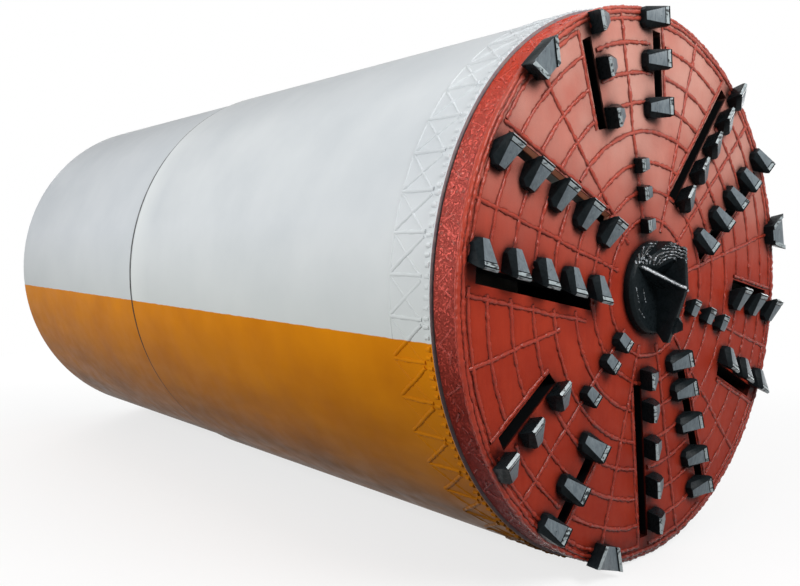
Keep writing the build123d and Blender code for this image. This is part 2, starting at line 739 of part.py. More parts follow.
target_top = ring_frame_inner - target_drop
laser_target = block(-target_size / 2, target_size / 2, mid_frame_y, mid_frame_y + target_plate,
                     target_top - target_size, target_top)
for side in (-1, 1):
    x = side * (target_size / 2 - hanger_width)
    laser_target += block(x - hanger_width / 2, x + hanger_width / 2, mid_frame_y, mid_frame_y + target_plate,
                          target_top - hanger_width, ring_frame_inner)
keep("laser_target", laser_target & ring(mid_frame_y, mid_frame_y + target_plate, ring_frame_inner, hub_radius))

cabinet_outer = floor_half(ring_frame_inner) - cabinet_gap
cabinet_inner = cabinet_outer - cabinet_width
floor_top = -floor_drop + floor_plate
cabinet_y = (seam_y + rear_floor_start + rear_floor_end_y) / 2 - cabinet_length / 2
tank_y = cabinet_y + (cabinet_length - tank_length) / 2
tank_top = floor_top + tank_height
keep("control_cabinet", block(cabinet_inner, cabinet_outer, cabinet_y, cabinet_y + cabinet_length,
                              floor_top, floor_top + cabinet_height))
keep("hydraulic_tank", block(-cabinet_outer, -cabinet_inner, tank_y, tank_y + tank_length, floor_top, tank_top))
pump_x = -(cabinet_inner + cabinet_outer) / 2
pump_z = tank_top + pump_foot_height + pump_motor_radius
pump_y = tank_y + (tank_length - pump_motor_length - pump_length) / 2
pump_unit = bar(pump_x, pump_z, pump_y, pump_y + pump_motor_length, pump_motor_radius)
pump_unit += bar(pump_x, pump_z, pump_y + pump_motor_length, pump_y + pump_motor_length + pump_length, pump_radius)
pump_unit += block(pump_x - pump_foot_width / 2, pump_x + pump_foot_width / 2,
                   pump_y + pump_motor_length / 6, pump_y + pump_motor_length * 5 / 6, tank_top, pump_z)
keep("pump_unit", pump_unit)
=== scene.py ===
"""Pipe jacking shield machine: finishes, weld beads, bolts, light and camera.

Metres, in the model's own frame: the machine's axis lies along Y, with the cutterhead at -Y.
"""

import bmesh
import bpy
import json
import math
import random
from mathutils import Euler, Matrix, Vector
from mathutils.bvhtree import BVHTree


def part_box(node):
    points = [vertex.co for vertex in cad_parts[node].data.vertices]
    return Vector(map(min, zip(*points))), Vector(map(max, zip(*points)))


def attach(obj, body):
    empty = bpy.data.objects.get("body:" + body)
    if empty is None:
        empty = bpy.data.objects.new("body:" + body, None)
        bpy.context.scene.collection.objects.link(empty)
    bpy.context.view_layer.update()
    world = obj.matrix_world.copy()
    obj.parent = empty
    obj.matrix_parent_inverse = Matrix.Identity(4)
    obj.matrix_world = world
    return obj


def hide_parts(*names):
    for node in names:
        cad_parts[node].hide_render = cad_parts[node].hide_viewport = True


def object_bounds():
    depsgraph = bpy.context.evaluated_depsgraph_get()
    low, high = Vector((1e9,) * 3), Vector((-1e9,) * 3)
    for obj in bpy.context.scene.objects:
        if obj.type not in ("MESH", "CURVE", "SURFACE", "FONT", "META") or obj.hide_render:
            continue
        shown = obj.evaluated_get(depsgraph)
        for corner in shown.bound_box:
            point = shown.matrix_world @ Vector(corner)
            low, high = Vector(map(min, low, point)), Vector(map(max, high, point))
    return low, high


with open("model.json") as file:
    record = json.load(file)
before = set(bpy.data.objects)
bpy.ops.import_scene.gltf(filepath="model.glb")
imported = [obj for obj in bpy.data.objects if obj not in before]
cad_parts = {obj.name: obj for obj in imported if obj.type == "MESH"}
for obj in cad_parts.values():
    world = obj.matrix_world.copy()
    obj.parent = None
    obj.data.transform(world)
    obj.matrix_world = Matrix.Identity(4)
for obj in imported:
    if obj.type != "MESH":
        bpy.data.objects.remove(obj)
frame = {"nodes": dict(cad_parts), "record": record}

cad_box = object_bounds()
nodes = frame["nodes"]
scene = bpy.context.scene


# ---------------------------------------------------------------- places read from the frame
def corners(node):
    """A node's lowest and highest corners at rest."""
    return [Vector(corner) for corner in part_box(node)]


shell_low, shell_high = corners("front_shell")
rim_low, rim_high = corners("cutterhead_rim")
rear_low, rear_high = corners("rear_shell")
axis_z = (shell_low.z + shell_high.z) / 2
shell_radius = (shell_high.z - shell_low.z) / 2
drum_radius = (rim_high.z - rim_low.z) / 2
rear_radius = (rear_high.z - rear_low.z) / 2
face_y = rim_low.y
drum_back_y = rim_high.y
lead_y = shell_low.y
seam_y = shell_high.y
tail_y = rear_high.y
AXIS_POINT = Vector((0, 0, axis_z))

# the cutterhead's layout, as in the model
CLOCK = -2.5                 # degrees
HUB_RADIUS = 0.415
SLOT_OFFSET = 0.210          # slot's far edge from the spoke's centreline, at the hub
SLOT_TAPER = 0.118
SLOT_WIDTH = 0.061
RIM_WALL = 0.088
SHORT_SLOT_START = 0.6       # of the drum's radius
LONG_SPOKES = (165.0, 45.0, -75.0)
SHORT_SPOKES = (105.0, -15.0, -135.0)


# ================================================================ materials
def linear(code):
    """An sRGB hex colour as linear RGBA."""
    parts = [int(code[i:i + 2], 16) / 255 for i in (1, 3, 5)]
    return (*[c / 12.92 if c <= 0.04045 else ((c + 0.055) / 1.055) ** 2.4 for c in parts], 1.0)


def add(tree, kind, sockets=None, **settings):
    """Adds one node with its settings; its inputs are values, or sockets or nodes to link to."""
    made = tree.nodes.new(kind)
    for name, value in settings.items():
        setattr(made, name, value)
    for name, value in (sockets or {}).items():
        if isinstance(value, bpy.types.Node):
            value = value.outputs[0]
        if isinstance(value, bpy.types.NodeSocket):
            tree.links.new(value, made.inputs[name])
        else:
            made.inputs[name].default_value = value
    return made


def finish(name, **constants):
    """A new material with its shader; the shader's constant inputs are given by name."""
    material = bpy.data.materials.new(name)
    material.use_nodes = True
    tree = material.node_tree
    shader = tree.nodes["Principled BSDF"]
    for socket, value in constants.items():
        shader.inputs[socket.replace("_", " ")].default_value = value
    return material, tree, shader


def ramp(tree, value, low, high, start=0.0, end=1.0):
    """Goes from start to end while the value goes from low to high."""
    spread = add(tree, "ShaderNodeMapRange",
                 {"Value": value, "From Min": low, "From Max": high, "To Min": start, "To Max": end})
    return spread.outputs["Result"]


def product(tree, *factors):
    """All the factors multiplied together."""
    total = factors[0]
    for factor in factors[1:]:
        total = add(tree, "ShaderNodeMath", {0: total, 1: factor}, operation="MULTIPLY")
    return total


def mottle(tree, size_mm, low, high, detail=3.0, roughness=0.5, stretch=(1, 1, 1)):
    """Noise of about that grain on Object coordinates, spread from low to high."""
    place = add(tree, "ShaderNodeTexCoord").outputs["Object"]
    if stretch != (1, 1, 1):
        place = add(tree, "ShaderNodeVectorMath", {0: place, 1: stretch}, operation="MULTIPLY")
    noise = add(tree, "ShaderNodeTexNoise",
                {"Vector": place, "Scale": 1000.0 / size_mm, "Detail": detail, "Roughness": roughness})
    return ramp(tree, noise.outputs["Fac"], 0.3, 0.7, low, high)


def blend_colours(tree, factor, first, second):
    """Mixes two colours, each a hex code or a socket."""
    mix = add(tree, "ShaderNodeMix", {"Factor": factor}, data_type="RGBA")
    for index, colour in ((6, first), (7, second)):
        if isinstance(colour, str):
            mix.inputs[index].default_value = linear(colour)
        else:
            tree.links.new(colour, mix.inputs[index])
    return mix.outputs[2]


def mottled(tree, size_mm, first, second):
    """Two colours in patches of about that size."""
    return blend_colours(tree, mottle(tree, size_mm, 0.0, 1.0, 4.0), first, second)


def coat(tree, shader, colour, roughness, *layers):
    """Links a finish's colour, its roughness and its bump layers, each (height socket, depth in mm)."""
    tree.links.new(colour, shader.inputs["Base Color"])
    tree.links.new(roughness, shader.inputs["Roughness"])
    normal = None
    for height, depth_mm in layers:
        sockets = {"Height": height, "Distance": depth_mm / 1000.0, "Strength": 1.0}
        if normal:
            sockets["Normal"] = normal
        normal = add(tree, "ShaderNodeBump", sockets).outputs["Normal"]
    tree.links.new(normal, shader.inputs["Normal"])


def near_corners(tree, reach_mm, start, end):
    """1 in corners between pieces, falling to 0 in the open."""
    shade = add(tree, "ShaderNodeAmbientOcclusion", {"Distance": reach_mm / 1000.0}, samples=8)
    return ramp(tree, shade.outputs["AO"], start, end, 1.0, 0.0)


def along_and_out(tree):
    """The places along and across the machine's axis, the height, and the distance from the axis."""
    place = add(tree, "ShaderNodeTexCoord").outputs["Object"]
    parts = add(tree, "ShaderNodeSeparateXYZ", {"Vector": place}).outputs
    height = add(tree, "ShaderNodeMath", {0: parts["Z"], 1: axis_z}, operation="SUBTRACT")
    flat = add(tree, "ShaderNodeCombineXYZ", {"X": parts["X"], "Z": height})
    out = add(tree, "ShaderNodeVectorMath", {0: flat}, operation="LENGTH").outputs["Value"]
    return parts["Y"], parts["X"], height, out


MASK_LINE = -0.169           # where grey meets orange at the leading edge, from the axis
MASK_CLIMB = 0.012           # in each metre towards the tail
MASK_EDGE = 0.0015           # how far the masking tape's edge wanders


def shell_enamel():
    """Two coats of sprayed alkyd enamel on rolled plate: pale grey above, orange below, semi-gloss."""
    material, tree, shader = finish("alkyd_enamel_grey_and_orange", Specular_IOR_Level=0.02)
    y, x, height, out = along_and_out(tree)
    line = add(tree, "ShaderNodeMath", {0: y, 1: MASK_CLIMB, 2: MASK_LINE - MASK_CLIMB * lead_y},
               operation="MULTIPLY_ADD")
    wobble = add(tree, "ShaderNodeMath", {0: mottle(tree, 60, -MASK_EDGE, MASK_EDGE), 1: line})
    above = add(tree, "ShaderNodeMath", {0: height, 1: wobble}, operation="SUBTRACT")
    grey = mottled(tree, 420, "#DADEE0", "#CFD4D7")
    # the rear shield was sprayed on another day; in front of the joint a painted highlight lightens the grey
    grey = blend_colours(tree, ramp(tree, y, seam_y, seam_y + 0.02, 0.0, 0.2), grey, "#C3C9D3")
    seam_painted_highlight = product(tree, ramp(tree, y, seam_y - 0.24, seam_y - 0.03),
                      ramp(tree, y, seam_y - 0.03, seam_y, 0.7, 0.0))
    grey = blend_colours(tree, seam_painted_highlight, grey, "#E6EAEA")
    # painted shade darkens the grey towards the masked line and along the crown
    grey = blend_colours(tree, ramp(tree, height, -0.3, 0.3, 0.6, 0.0), grey, "#BEC3BC")
    grey = blend_colours(tree, ramp(tree, height, 0.8, 1.15, 0.0, 0.6), grey, "#B9BDC0")
    orange = mottled(tree, 300, "#DC880E", "#CC7A0C")
    # workshop dust and painted shade darken the orange low on the flanks
    dust_and_low_shade = product(tree, ramp(tree, height, -1.05, -0.08, 1.0, 0.0),
                   mottle(tree, 180, 0.75, 1.0, 5.0, 0.5, (1, 0.3, 1)))
    orange = blend_colours(tree, dust_and_low_shade, orange, "#412A12")
    paint = blend_colours(tree, ramp(tree, above, -MASK_EDGE, MASK_EDGE), orange, grey)
    # grease, grime and the painted shade of the gap darken the steering joint's edge
    grease_and_gap_shade = product(tree, ramp(tree, y, seam_y - 0.009, seam_y - 0.007),
                     ramp(tree, y, seam_y + 0.034, seam_y + 0.038, 1.0, 0.0), mottle(tree, 90, 0.75, 1.0))
    paint = blend_colours(tree, grease_and_gap_shade, paint, "#241F1F")
    # the rolled plate's inner side has grey primer alone, and the leading edge's end face is bare
    primer = mottled(tree, 220, "#A4A9A4", "#929792")
    within = ramp(tree, out, rear_radius - 0.0155, rear_radius - 0.0135, 1.0, 0.0)
    paint = blend_colours(tree, within, paint, primer)
    bare = blend_colours(tree, mottle(tree, 25, 0.0, 1.0), "#85767E", "#9A8A86")
    paint = blend_colours(tree, ramp(tree, y, lead_y + 0.0005, lead_y + 0.002, 1.0, 0.0), paint, bare)
    coat(tree, shader, paint, mottle(tree, 90, 0.3, 0.42, 4.0),
         (mottle(tree, 260, 0.0, 1.0, 2.0), 1.2), (mottle(tree, 5, 0.0, 1.0, 2.0), 0.05))
    return material


def brushed_folds(tree):
    """Folds of thick paint: 0 along a fold's foot, rising to 1 away from it."""
    place = add(tree, "ShaderNodeTexCoord").outputs["Object"]
    folds = add(tree, "ShaderNodeTexNoise",
                {"Vector": place, "Scale": 60.0, "Detail": 4.0, "Roughness": 0.6, "Distortion": 1.5})
    folds = add(tree, "ShaderNodeMath", {0: folds.outputs["Fac"], 1: 0.5}, operation="SUBTRACT")
    folds = add(tree, "ShaderNodeMath", {0: folds}, operation="ABSOLUTE")
    return ramp(tree, folds, 0.0, 0.09)


SPOKES_END = 1.11            # radius at which the slots and the painted shade inside the head end


def head_enamel(name, shine, roughness, lumps_mm, wrinkles_mm, top_light_share, overspray_and_shade):
    """Red alkyd enamel brushed thickly over plate or weld; the weld shows its lumps and glints."""
    material, tree, shader = finish(name, Specular_IOR_Level=shine)
    y, x, height, out = along_and_out(tree)
    red = blend_colours(tree, mottle(tree, 160, 0.0, 1.0, 5.0), "#B94029", "#A73522")
    streaks = mottle(tree, 22, 0.0, 0.35, 4.0, 0.6, (1, 1, 0.12))
    red = blend_colours(tree, streaks, red, "#962C1D")
    # painted light pales the upper half towards salmon, a little less on the left
    painted_top_light = product(tree, ramp(tree, height, 0.05, 0.7, 0.0, top_light_share), ramp(tree, x, -0.9, -0.4, 0.7, 1.0),
                   mottle(tree, 240, 0.5, 1.0, 4.0))
    red = blend_colours(tree, painted_top_light, red, "#E0B3A4")
    # dirt and painted shade darken the lower half, the flank most of all
    dirt_and_low_shade = product(tree, ramp(tree, height, -0.9, 0.5, 0.32, 0.0), mottle(tree, 200, 0.7, 1.0, 4.0))
    red = blend_colours(tree, dirt_and_low_shade, red, "#661D16")
    # the flank's paint lies in folds, smoother towards the crown; painted light turns it pink-red from a
    # little below the middle up
    flank = product(tree, ramp(tree, out, drum_radius - 0.006, drum_radius - 0.002),
                    ramp(tree, y, face_y + 0.008, face_y + 0.018))
    folds = brushed_folds(tree)
    rough = product(tree, flank, ramp(tree, height, 0.5, 0.85, 1.0, 0.3))
    # painted shade darkens the feet of the folds
    painted_fold_shade = product(tree, rough, ramp(tree, folds, 0.0, 0.3, 0.22, 0.0))
    rose_painted_light = blend_colours(tree, ramp(tree, height, 0.45, 0.85), "#FF7468", "#D83C1E")
    red = blend_colours(tree, product(tree, flank, ramp(tree, height, -0.4, 0.2, 0.0, 0.9)), red, rose_painted_light)
    red = blend_colours(tree, painted_fold_shade, red, "#8E2C28")
    # painted glints fleck the folds in the upper part
    painted_glints = product(tree, rough, ramp(tree, height, 0.0, 0.3),
                     ramp(tree, mottle(tree, 16, 0.0, 1.0, 5.0, 0.7), 0.66, 0.9, 0.0, 0.8))
    red = blend_colours(tree, painted_glints, red, "#F2A79A")
    # painted shade darkens the flank low down
    painted_low_flank_shade = product(tree, flank, ramp(tree, height, -0.75, 0.0, 0.65, 0.0),
                        mottle(tree, 45, 0.6, 1.0, 5.0))
    red = blend_colours(tree, painted_low_flank_shade, red, "#55202A")
    # black overspray and painted corner shade lie round the bits' feet, beside the beads and in the corners
    sprayed = product(tree, near_corners(tree, 190, 0.58, 0.94), mottle(tree, 30, 0.8, 1.0), overspray_and_shade)
    red = blend_colours(tree, sprayed, red, "#160D0E")
    # painted shade makes the head black behind the face plates, and painted light makes one upper slot's
    # walls pale
    above_slot = add(tree, "ShaderNodeMath", {0: x, 1: 0.45, 2: height}, operation="MULTIPLY_ADD")
    lit_slot_wall = product(tree, ramp(tree, above_slot, 0.0, 0.03), ramp(tree, above_slot, 0.33, 0.36, 1.0, 0.0),
                      ramp(tree, x, -0.2, -0.25))
    start = add(tree, "ShaderNodeMath", {0: y, 1: product(tree, lit_slot_wall, 0.034)}, operation="SUBTRACT")
    among_spokes = ramp(tree, out, SPOKES_END - 0.01, SPOKES_END + 0.01, 1.0, 0.0)
    pale = product(tree, lit_slot_wall, ramp(tree, y, face_y + 0.003, face_y + 0.006), among_spokes)
    red = blend_colours(tree, pale, red, "#E9B8A0")
    painted_inner_shade = product(tree, ramp(tree, start, face_y + 0.002, face_y + 0.010), among_spokes)
    red = blend_colours(tree, painted_inner_shade, red, "#121314")
    coat(tree, shader, red, mottle(tree, 40, *roughness, 4.0), (product(tree, rough, folds), wrinkles_mm),
         (mottle(tree, 26, 0.0, 1.0, 4.0), lumps_mm), (mottle(tree, 5, 0.0, 1.0), 0.12))
    return material


def bit_enamel():
    """Black enamel run thickly over forged bits."""
    material, tree, shader = finish("black_enamel_on_bits", Specular_IOR_Level=0.05)
    black = mottled(tree, 30, "#141A1C", "#1B2124")
    coat(tree, shader, black, mottle(tree, 15, 0.2, 0.4, 3.0), (mottle(tree, 18, 0.0, 1.0, 3.0), 0.5))
    return material


def ground_slope():
    """Forged steel ground flat and blued: grey, with fine scratches and black specks; its pale grey is also
    painted reflection.
    """
    material, tree, shader = finish("blued_hard_metal_and_painted_reflection", Specular_IOR_Level=0.25)
    blue = mottled(tree, 34, "#49535A", "#5B666C")
    scratches = mottle(tree, 9, 0.0, 0.5, 4.0, 0.7, (1, 1, 0.2))
    blue = blend_colours(tree, scratches, blue, "#8B9599")
    specks = ramp(tree, mottle(tree, 12, 0.0, 1.0, 4.0, 0.7), 0.86, 0.95)
    blue = blend_colours(tree, specks, blue, "#14181B")
    coat(tree, shader, blue, mottle(tree, 15, 0.3, 0.45, 3.0), (mottle(tree, 10, 0.0, 1.0, 3.0), 0.15))
    return material


def hard_insert():
    """Hard-metal inserts along the bits' crests: pale and bright, with black in their scratches."""
    material, tree, shader = finish("bright_hard_metal", Specular_IOR_Level=0.4)
    pale = mottled(tree, 20, "#8E999C", "#A7B2B4")
    scratches = ramp(tree, mottle(tree, 14, 0.0, 1.0, 3.0, 0.6, (0.35, 1, 1)), 0.55, 0.75)
    pale = blend_colours(tree, scratches, pale, "#1D2528")
    coat(tree, shader, pale, mottle(tree, 12, 0.25, 0.4, 3.0), (mottle(tree, 8, 0.0, 1.0, 3.0), 0.3))
    return material


def chipped_weld():
    """Hard-facing weld under black enamel, chipped back to bright metal on its lumps; the bright chips are
    also painted glints.
    """
    material, tree, shader = finish("chipped_black_hard_facing_with_painted_glints", Specular_IOR_Level=0.5)
    chips_and_glints = ramp(tree, mottle(tree, 11, 0.0, 1.0, 4.0, 0.65), 0.56, 0.72)
    chipped = blend_colours(tree, chips_and_glints, "#0E1214", "#A2AAB0")
    coat(tree, shader, chipped, mottle(tree, 15, 0.15, 0.35, 3.0), (mottle(tree, 7, 0.0, 1.0, 3.0), 0.8))
    return material


def worn_ridge():
    """Hard-facing weld rubbed bright along a cutting edge; the brightness is also the edge's painted
    highlight.
    """
    material, tree, shader = finish("rubbed_hard_facing_with_painted_highlight", Specular_IOR_Level=0.5)
    wear_and_highlight = ramp(tree, mottle(tree, 16, 0.0, 1.0, 4.0, 0.6), 0.2, 0.5)
    rubbed = blend_colours(tree, wear_and_highlight, "#4A5056", "#C6CBCF")
    coat(tree, shader, rubbed, mottle(tree, 10, 0.2, 0.4, 3.0), (mottle(tree, 8, 0.0, 1.0, 3.0), 0.6))
    return material


def plain_enamel(name, first, second, roughness=(0.35, 0.5)):
    """Sprayed machine enamel on fabricated steel, satin."""
    material, tree, shader = finish(name, Coat_Weight=0.15, Coat_Roughness=0.25)
    paint = mottled(tree, 120, first, second)
    coat(tree, shader, paint, mottle(tree, 50, *roughness), (mottle(tree, 6, 0.0, 1.0, 2.0), 0.08))
    return material


def bare_metal(name, first, second, roughness=(0.2, 0.35)):
    """Machined or ground steel with a trace of oil."""
    material, tree, shader = finish(name, Metallic=1.0)
    steel = mottled(tree, 25, first, second)
    coat(tree, shader, steel, mottle(tree, 8, *roughness), (mottle(tree, 2, 0.0, 1.0, 2.0), 0.02))
    return material


def seal_rubber():
    """Moulded nitrile rubber, matt and dusty."""
    material, tree, shader = finish("nitrile_rubber")
    rubber = blend_colours(tree, mottle(tree, 20, 0.0, 1.0), "#17181A", "#222324")
    coat(tree, shader, rubber, mottle(tree, 12, 0.6, 0.75), (mottle(tree, 3, 0.0, 1.0), 0.05))
    return material


finishes = {
    "shell_enamel": shell_enamel(),
    "red_enamel": head_enamel("alkyd_enamel_red", 0.05, (0.3, 0.45), 0.4, 7.0, 0.74, 1.0),
    "cutter_steel": bit_enamel(),
    "seal_rubber": seal_rubber(),
    "chromed_rod": bare_metal("hard_chrome", "#C9CCCE", "#BFC3C6", (0.06, 0.14)),
    "pin_steel": bare_metal("turned_steel", "#A7A9AA", "#8F9192"),
    "floor_steel": bare_metal("worn_chequer_plate", "#8C8C88", "#6F6E6A", (0.35, 0.55)),
    "inner_enamel": plain_enamel("epoxy_primer_pale_grey", "#BFC2BE", "#AFB2AD"),
    "drive_enamel": plain_enamel("machine_enamel_blue_grey", "#3A5A72", "#324E64"),
    "motor_enamel": plain_enamel("machine_enamel_dark_grey", "#3B4044", "#303437"),
    "pipe_enamel": plain_enamel("pipe_enamel_blue", "#2D5A8A", "#274F7B"),
    "cabinet_enamel": plain_enamel("powder_coat_pale_grey", "#BCBFBC", "#B2B5B1"),
}
weld_paint = head_enamel("alkyd_enamel_red_on_weld", 0.2, (0.15, 0.3), 1.5, 2.0, 0.12, 0.75)
slope_metal_and_reflection = ground_slope()
insert_metal = hard_insert()
slot_of = {part["node"]: part["material_slot"] for part in frame["record"]["subparts"]}
for name, cad in nodes.items():
    for material_slot in cad.material_slots:
        material_slot.material = finishes[slot_of[name]]


# ================================================================ making pieces
def as_piece(made, body):
    """Puts a finished object into the scene, riding on its body."""
    if made.name not in scene.collection.objects:
        scene.collection.objects.link(made)
    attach(made, body)
    return made


def break_edges(made, edge, angle):
    """Rounds over a piece's edges that are sharper than the angle, in degrees."""
    rounding = made.modifiers.new("broken_edges", "BEVEL")
    rounding.width, rounding.segments = edge, 2
    rounding.limit_method, rounding.angle_limit = "ANGLE", math.radians(angle)
    return rounding


GROUND_LEAN = -0.745         # a ground slope's normal reaches at least that far forward
INSERT_WIDTH = 0.024         # a slope no wider than that is a hard insert
GROOVE_WIDTH = 0.005
MERGE_WITHIN = 0.00002
FLAT_WITHIN = 2              # degrees


def softened(node, edge, body, slot, ground=False):
    """A copy of a CAD node with its edges broken, which then stands for it; slopes may be ground bright,
    with painted reflection.
    """
    mesh = nodes[node].data.copy()
    mesh.materials.clear()
    for metal in [finishes[slot]] + ([slope_metal_and_reflection, insert_metal] if ground else []):
        mesh.materials.append(metal)
    shape = bmesh.new()
    shape.from_mesh(mesh)
    bmesh.ops.remove_doubles(shape, verts=shape.verts, dist=MERGE_WITHIN)
    flat = math.radians(FLAT_WITHIN)
    bmesh.ops.dissolve_limit(shape, angle_limit=flat, verts=shape.verts, edges=shape.edges)
    for face in shape.faces:
        face.smooth = True
        width = face.calc_area() / max(side.calc_length() for side in face.edges)
        # slopes facing forward get the ground metal, partly wear and partly painted reflection, or the hard
        # inserts
        if ground and face.normal.y < GROUND_LEAN and width > GROOVE_WIDTH:
            face.material_index = 1 if width > INSERT_WIDTH else 2
    shape.to_mesh(mesh)
    shape.free()
    made = as_piece(bpy.data.objects.new(f"dressed_{node}", mesh), body)
    break_edges(made, edge, 12).harden_normals = True
    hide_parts(node)
    return made


# ---------------------------------------------------------------- weld beads
BEAD_SIZES = ("Radius", "Step", "Wander", "Swell", "Ripple")


def weld_bead_tree():
    """A geometry tree that lays a rippled bead of weld along each guide line."""
    tree = bpy.data.node_groups.new("weld_bead", "GeometryNodeTree")
    face = tree.interface
    face.new_socket("Guide", in_out="INPUT", socket_type="NodeSocketGeometry")
    for name in BEAD_SIZES:
        face.new_socket(name, in_out="INPUT", socket_type="NodeSocketFloat")
    face.new_socket("Finish", in_out="INPUT", socket_type="NodeSocketMaterial")
    face.new_socket("Beads", in_out="OUTPUT", socket_type="NodeSocketGeometry")
    given = add(tree, "NodeGroupInput").outputs
    line = add(tree, "GeometryNodeMeshToCurve", {"Mesh": given["Guide"]})
    line = add(tree, "GeometryNodeResampleCurve", {"Curve": line, "Length": given["Step"]}, mode="LENGTH")
    place = add(tree, "GeometryNodeInputPosition")
    outward = add(tree, "GeometryNodeInputNamedAttribute", {"Name": "outward"}, data_type="FLOAT_VECTOR")
    # the welder's hand wanders slowly from the line, but stays on the plate
    slow = add(tree, "ShaderNodeTexNoise", {"Vector": place, "Scale": 6.0, "Detail": 2.0})
    slow = add(tree, "ShaderNodeVectorMath", {0: slow.outputs["Color"], 1: (0.5, 0.5, 0.5)},
               operation="SUBTRACT")
    slow = add(tree, "ShaderNodeVectorMath", {0: slow, "Scale": given["Wander"]}, operation="SCALE")
    rise = add(tree, "ShaderNodeVectorMath", {0: slow, 1: outward}, operation="DOT_PRODUCT").outputs["Value"]
    rise = add(tree, "ShaderNodeVectorMath", {0: outward, "Scale": rise}, operation="SCALE")
    aside = add(tree, "ShaderNodeVectorMath", {0: slow, 1: rise}, operation="SUBTRACT")
    line = add(tree, "GeometryNodeSetPosition", {"Geometry": line, "Offset": aside})
    # the bead swells and thins as it goes
    swell = add(tree, "ShaderNodeTexNoise", {"Vector": place, "Scale": 45.0, "Detail": 2.0})
    low = add(tree, "ShaderNodeMath", {0: 1.0, 1: given["Swell"]}, operation="SUBTRACT")
    high = add(tree, "ShaderNodeMath", {0: 1.0, 1: given["Swell"]}, operation="ADD")
    swell = ramp(tree, swell.outputs["Fac"], 0.3, 0.7, low, high)
    section = add(tree, "GeometryNodeCurvePrimitiveCircle", {"Resolution": 8, "Radius": given["Radius"]})
    bead = add(tree, "GeometryNodeCurveToMesh",
               {"Curve": line, "Profile Curve": section, "Scale": swell, "Fill Caps": True})
    # ripples left by the rod
    ripple = add(tree, "ShaderNodeTexNoise", {"Vector": place, "Scale": 120.0, "Detail": 1.0})
    ripple = add(tree, "ShaderNodeMath", {0: ripple.outputs["Fac"], 1: 0.5}, operation="SUBTRACT")
    normal = add(tree, "GeometryNodeInputNormal")
    ripple = add(tree, "ShaderNodeVectorMath",
                 {0: normal, "Scale": product(tree, ripple, given["Ripple"])}, operation="SCALE")
    bead = add(tree, "GeometryNodeSetPosition", {"Geometry": bead, "Offset": ripple})
    bead = add(tree, "GeometryNodeSetShadeSmooth", {"Geometry": bead})
    bead = add(tree, "GeometryNodeRealizeInstances", {"Geometry": bead})
    bead = add(tree, "GeometryNodeSetMaterial", {"Geometry": bead, "Material": given["Finish"]})
    add(tree, "NodeGroupOutput", {"Beads": bead})
    return tree


def guide(name, lines):
    """A mesh of open lines; each line is a list of (point, outward direction)."""
    mesh = bpy.data.meshes.new(name)
    points = [tuple(point) for line in lines for point, outward in line]
    edges = []
    start = 0
    for line in lines:
        edges += [(start + i, start + i + 1) for i in range(len(line) - 1)]
        start += len(line)
    mesh.from_pydata(points, edges, [])
    directions = mesh.attributes.new("outward", "FLOAT_VECTOR", "POINT")
    flat = [c for line in lines for point, outward in line for c in outward]
    directions.data.foreach_set("vector", flat)
    return mesh


PROUD = 0.0009               # the most that a bead stands past the model's box
PROUD_EASE = 0.003           # how gently it is flattened there


def grown(name, lines, tree, body, slot, metal=None, **values):
    """Runs a geometry tree on guide lines and keeps the result as a plain piece, in its slot's finish."""
    holder = bpy.data.objects.new(name, guide(f"{name}_guide", lines))
    scene.collection.objects.link(holder)
    growth = holder.modifiers.new("growth", "NODES")
    growth.node_group = tree
    sockets = {s.name: s.identifier for s in tree.interface.items_tree if s.in_out == "INPUT"}
    values["Finish"] = metal or finishes[slot]
    for label, value in values.items():
        growth[sockets[label]] = value
    bpy.context.view_layer.update()
    result = bpy.data.meshes.new_from_object(holder.evaluated_get(bpy.context.evaluated_depsgraph_get()))
    holder.modifiers.clear()
    holder.data = result
    for vertex in result.vertices:
        for i in range(3):
            for sign, limit in ((-1, cad_box[0][i]), (1, cad_box[1][i])):
                over = sign * (vertex.co[i] - limit)
                if over > 0:
                    vertex.co[i] = limit + sign * PROUD * (1 - math.exp(-over / PROUD_EASE))
    return as_piece(holder, body)


FORWARD = Vector((0, -1, 0))
TAILWARD = Vector((0, 1, 0))
ACROSS = Vector((1, 0, 0))
UP = Vector((0, 0, 1))
BEAD_RADIUS = 0.0105
BEAD_SINK = 0.0035           # how far a bead's middle lies below the plate
LINE_STEP = 0.02             # between a round line's points
SLOTTED_SPOKES = ((LONG_SPOKES, HUB_RADIUS), (SHORT_SPOKES, SHORT_SLOT_START * drum_radius))


def face_point(angle, along, across=0.0, height=0.0):
    """A point on the drum's face, by the angle of a spoke and the way along and across it."""
    turn = math.radians(angle)
    x = along * math.cos(turn) - across * math.sin(turn)
    z = along * math.sin(turn) + across * math.cos(turn)
    return Vector((x, face_y - height, axis_z + z))


def slot_edges(along):
    """Near and far edges of a slot, from its spoke's centreline."""
    far = SLOT_OFFSET + SLOT_TAPER * (along - HUB_RADIUS)
    return far - SLOT_WIDTH, far


def in_slot(angle, radius, margin):
    """True where a point of the face lies in a slot or within a margin of one."""
    for spokes, start in SLOTTED_SPOKES:
        for spoke in spokes:
            turn = math.radians(angle - spoke - CLOCK)
            along, across = radius * math.cos(turn), abs(radius * math.sin(turn))
            near, far = slot_edges(along)
            beside = near - margin < across < far + margin
            if beside and start - margin < along < drum_radius - RIM_WALL + margin:
                return True
    return False


def flat_line(points):
    """A guide line on the drum's face."""
    return [(p + Vector((0, BEAD_SINK, 0)), FORWARD) for p in points]


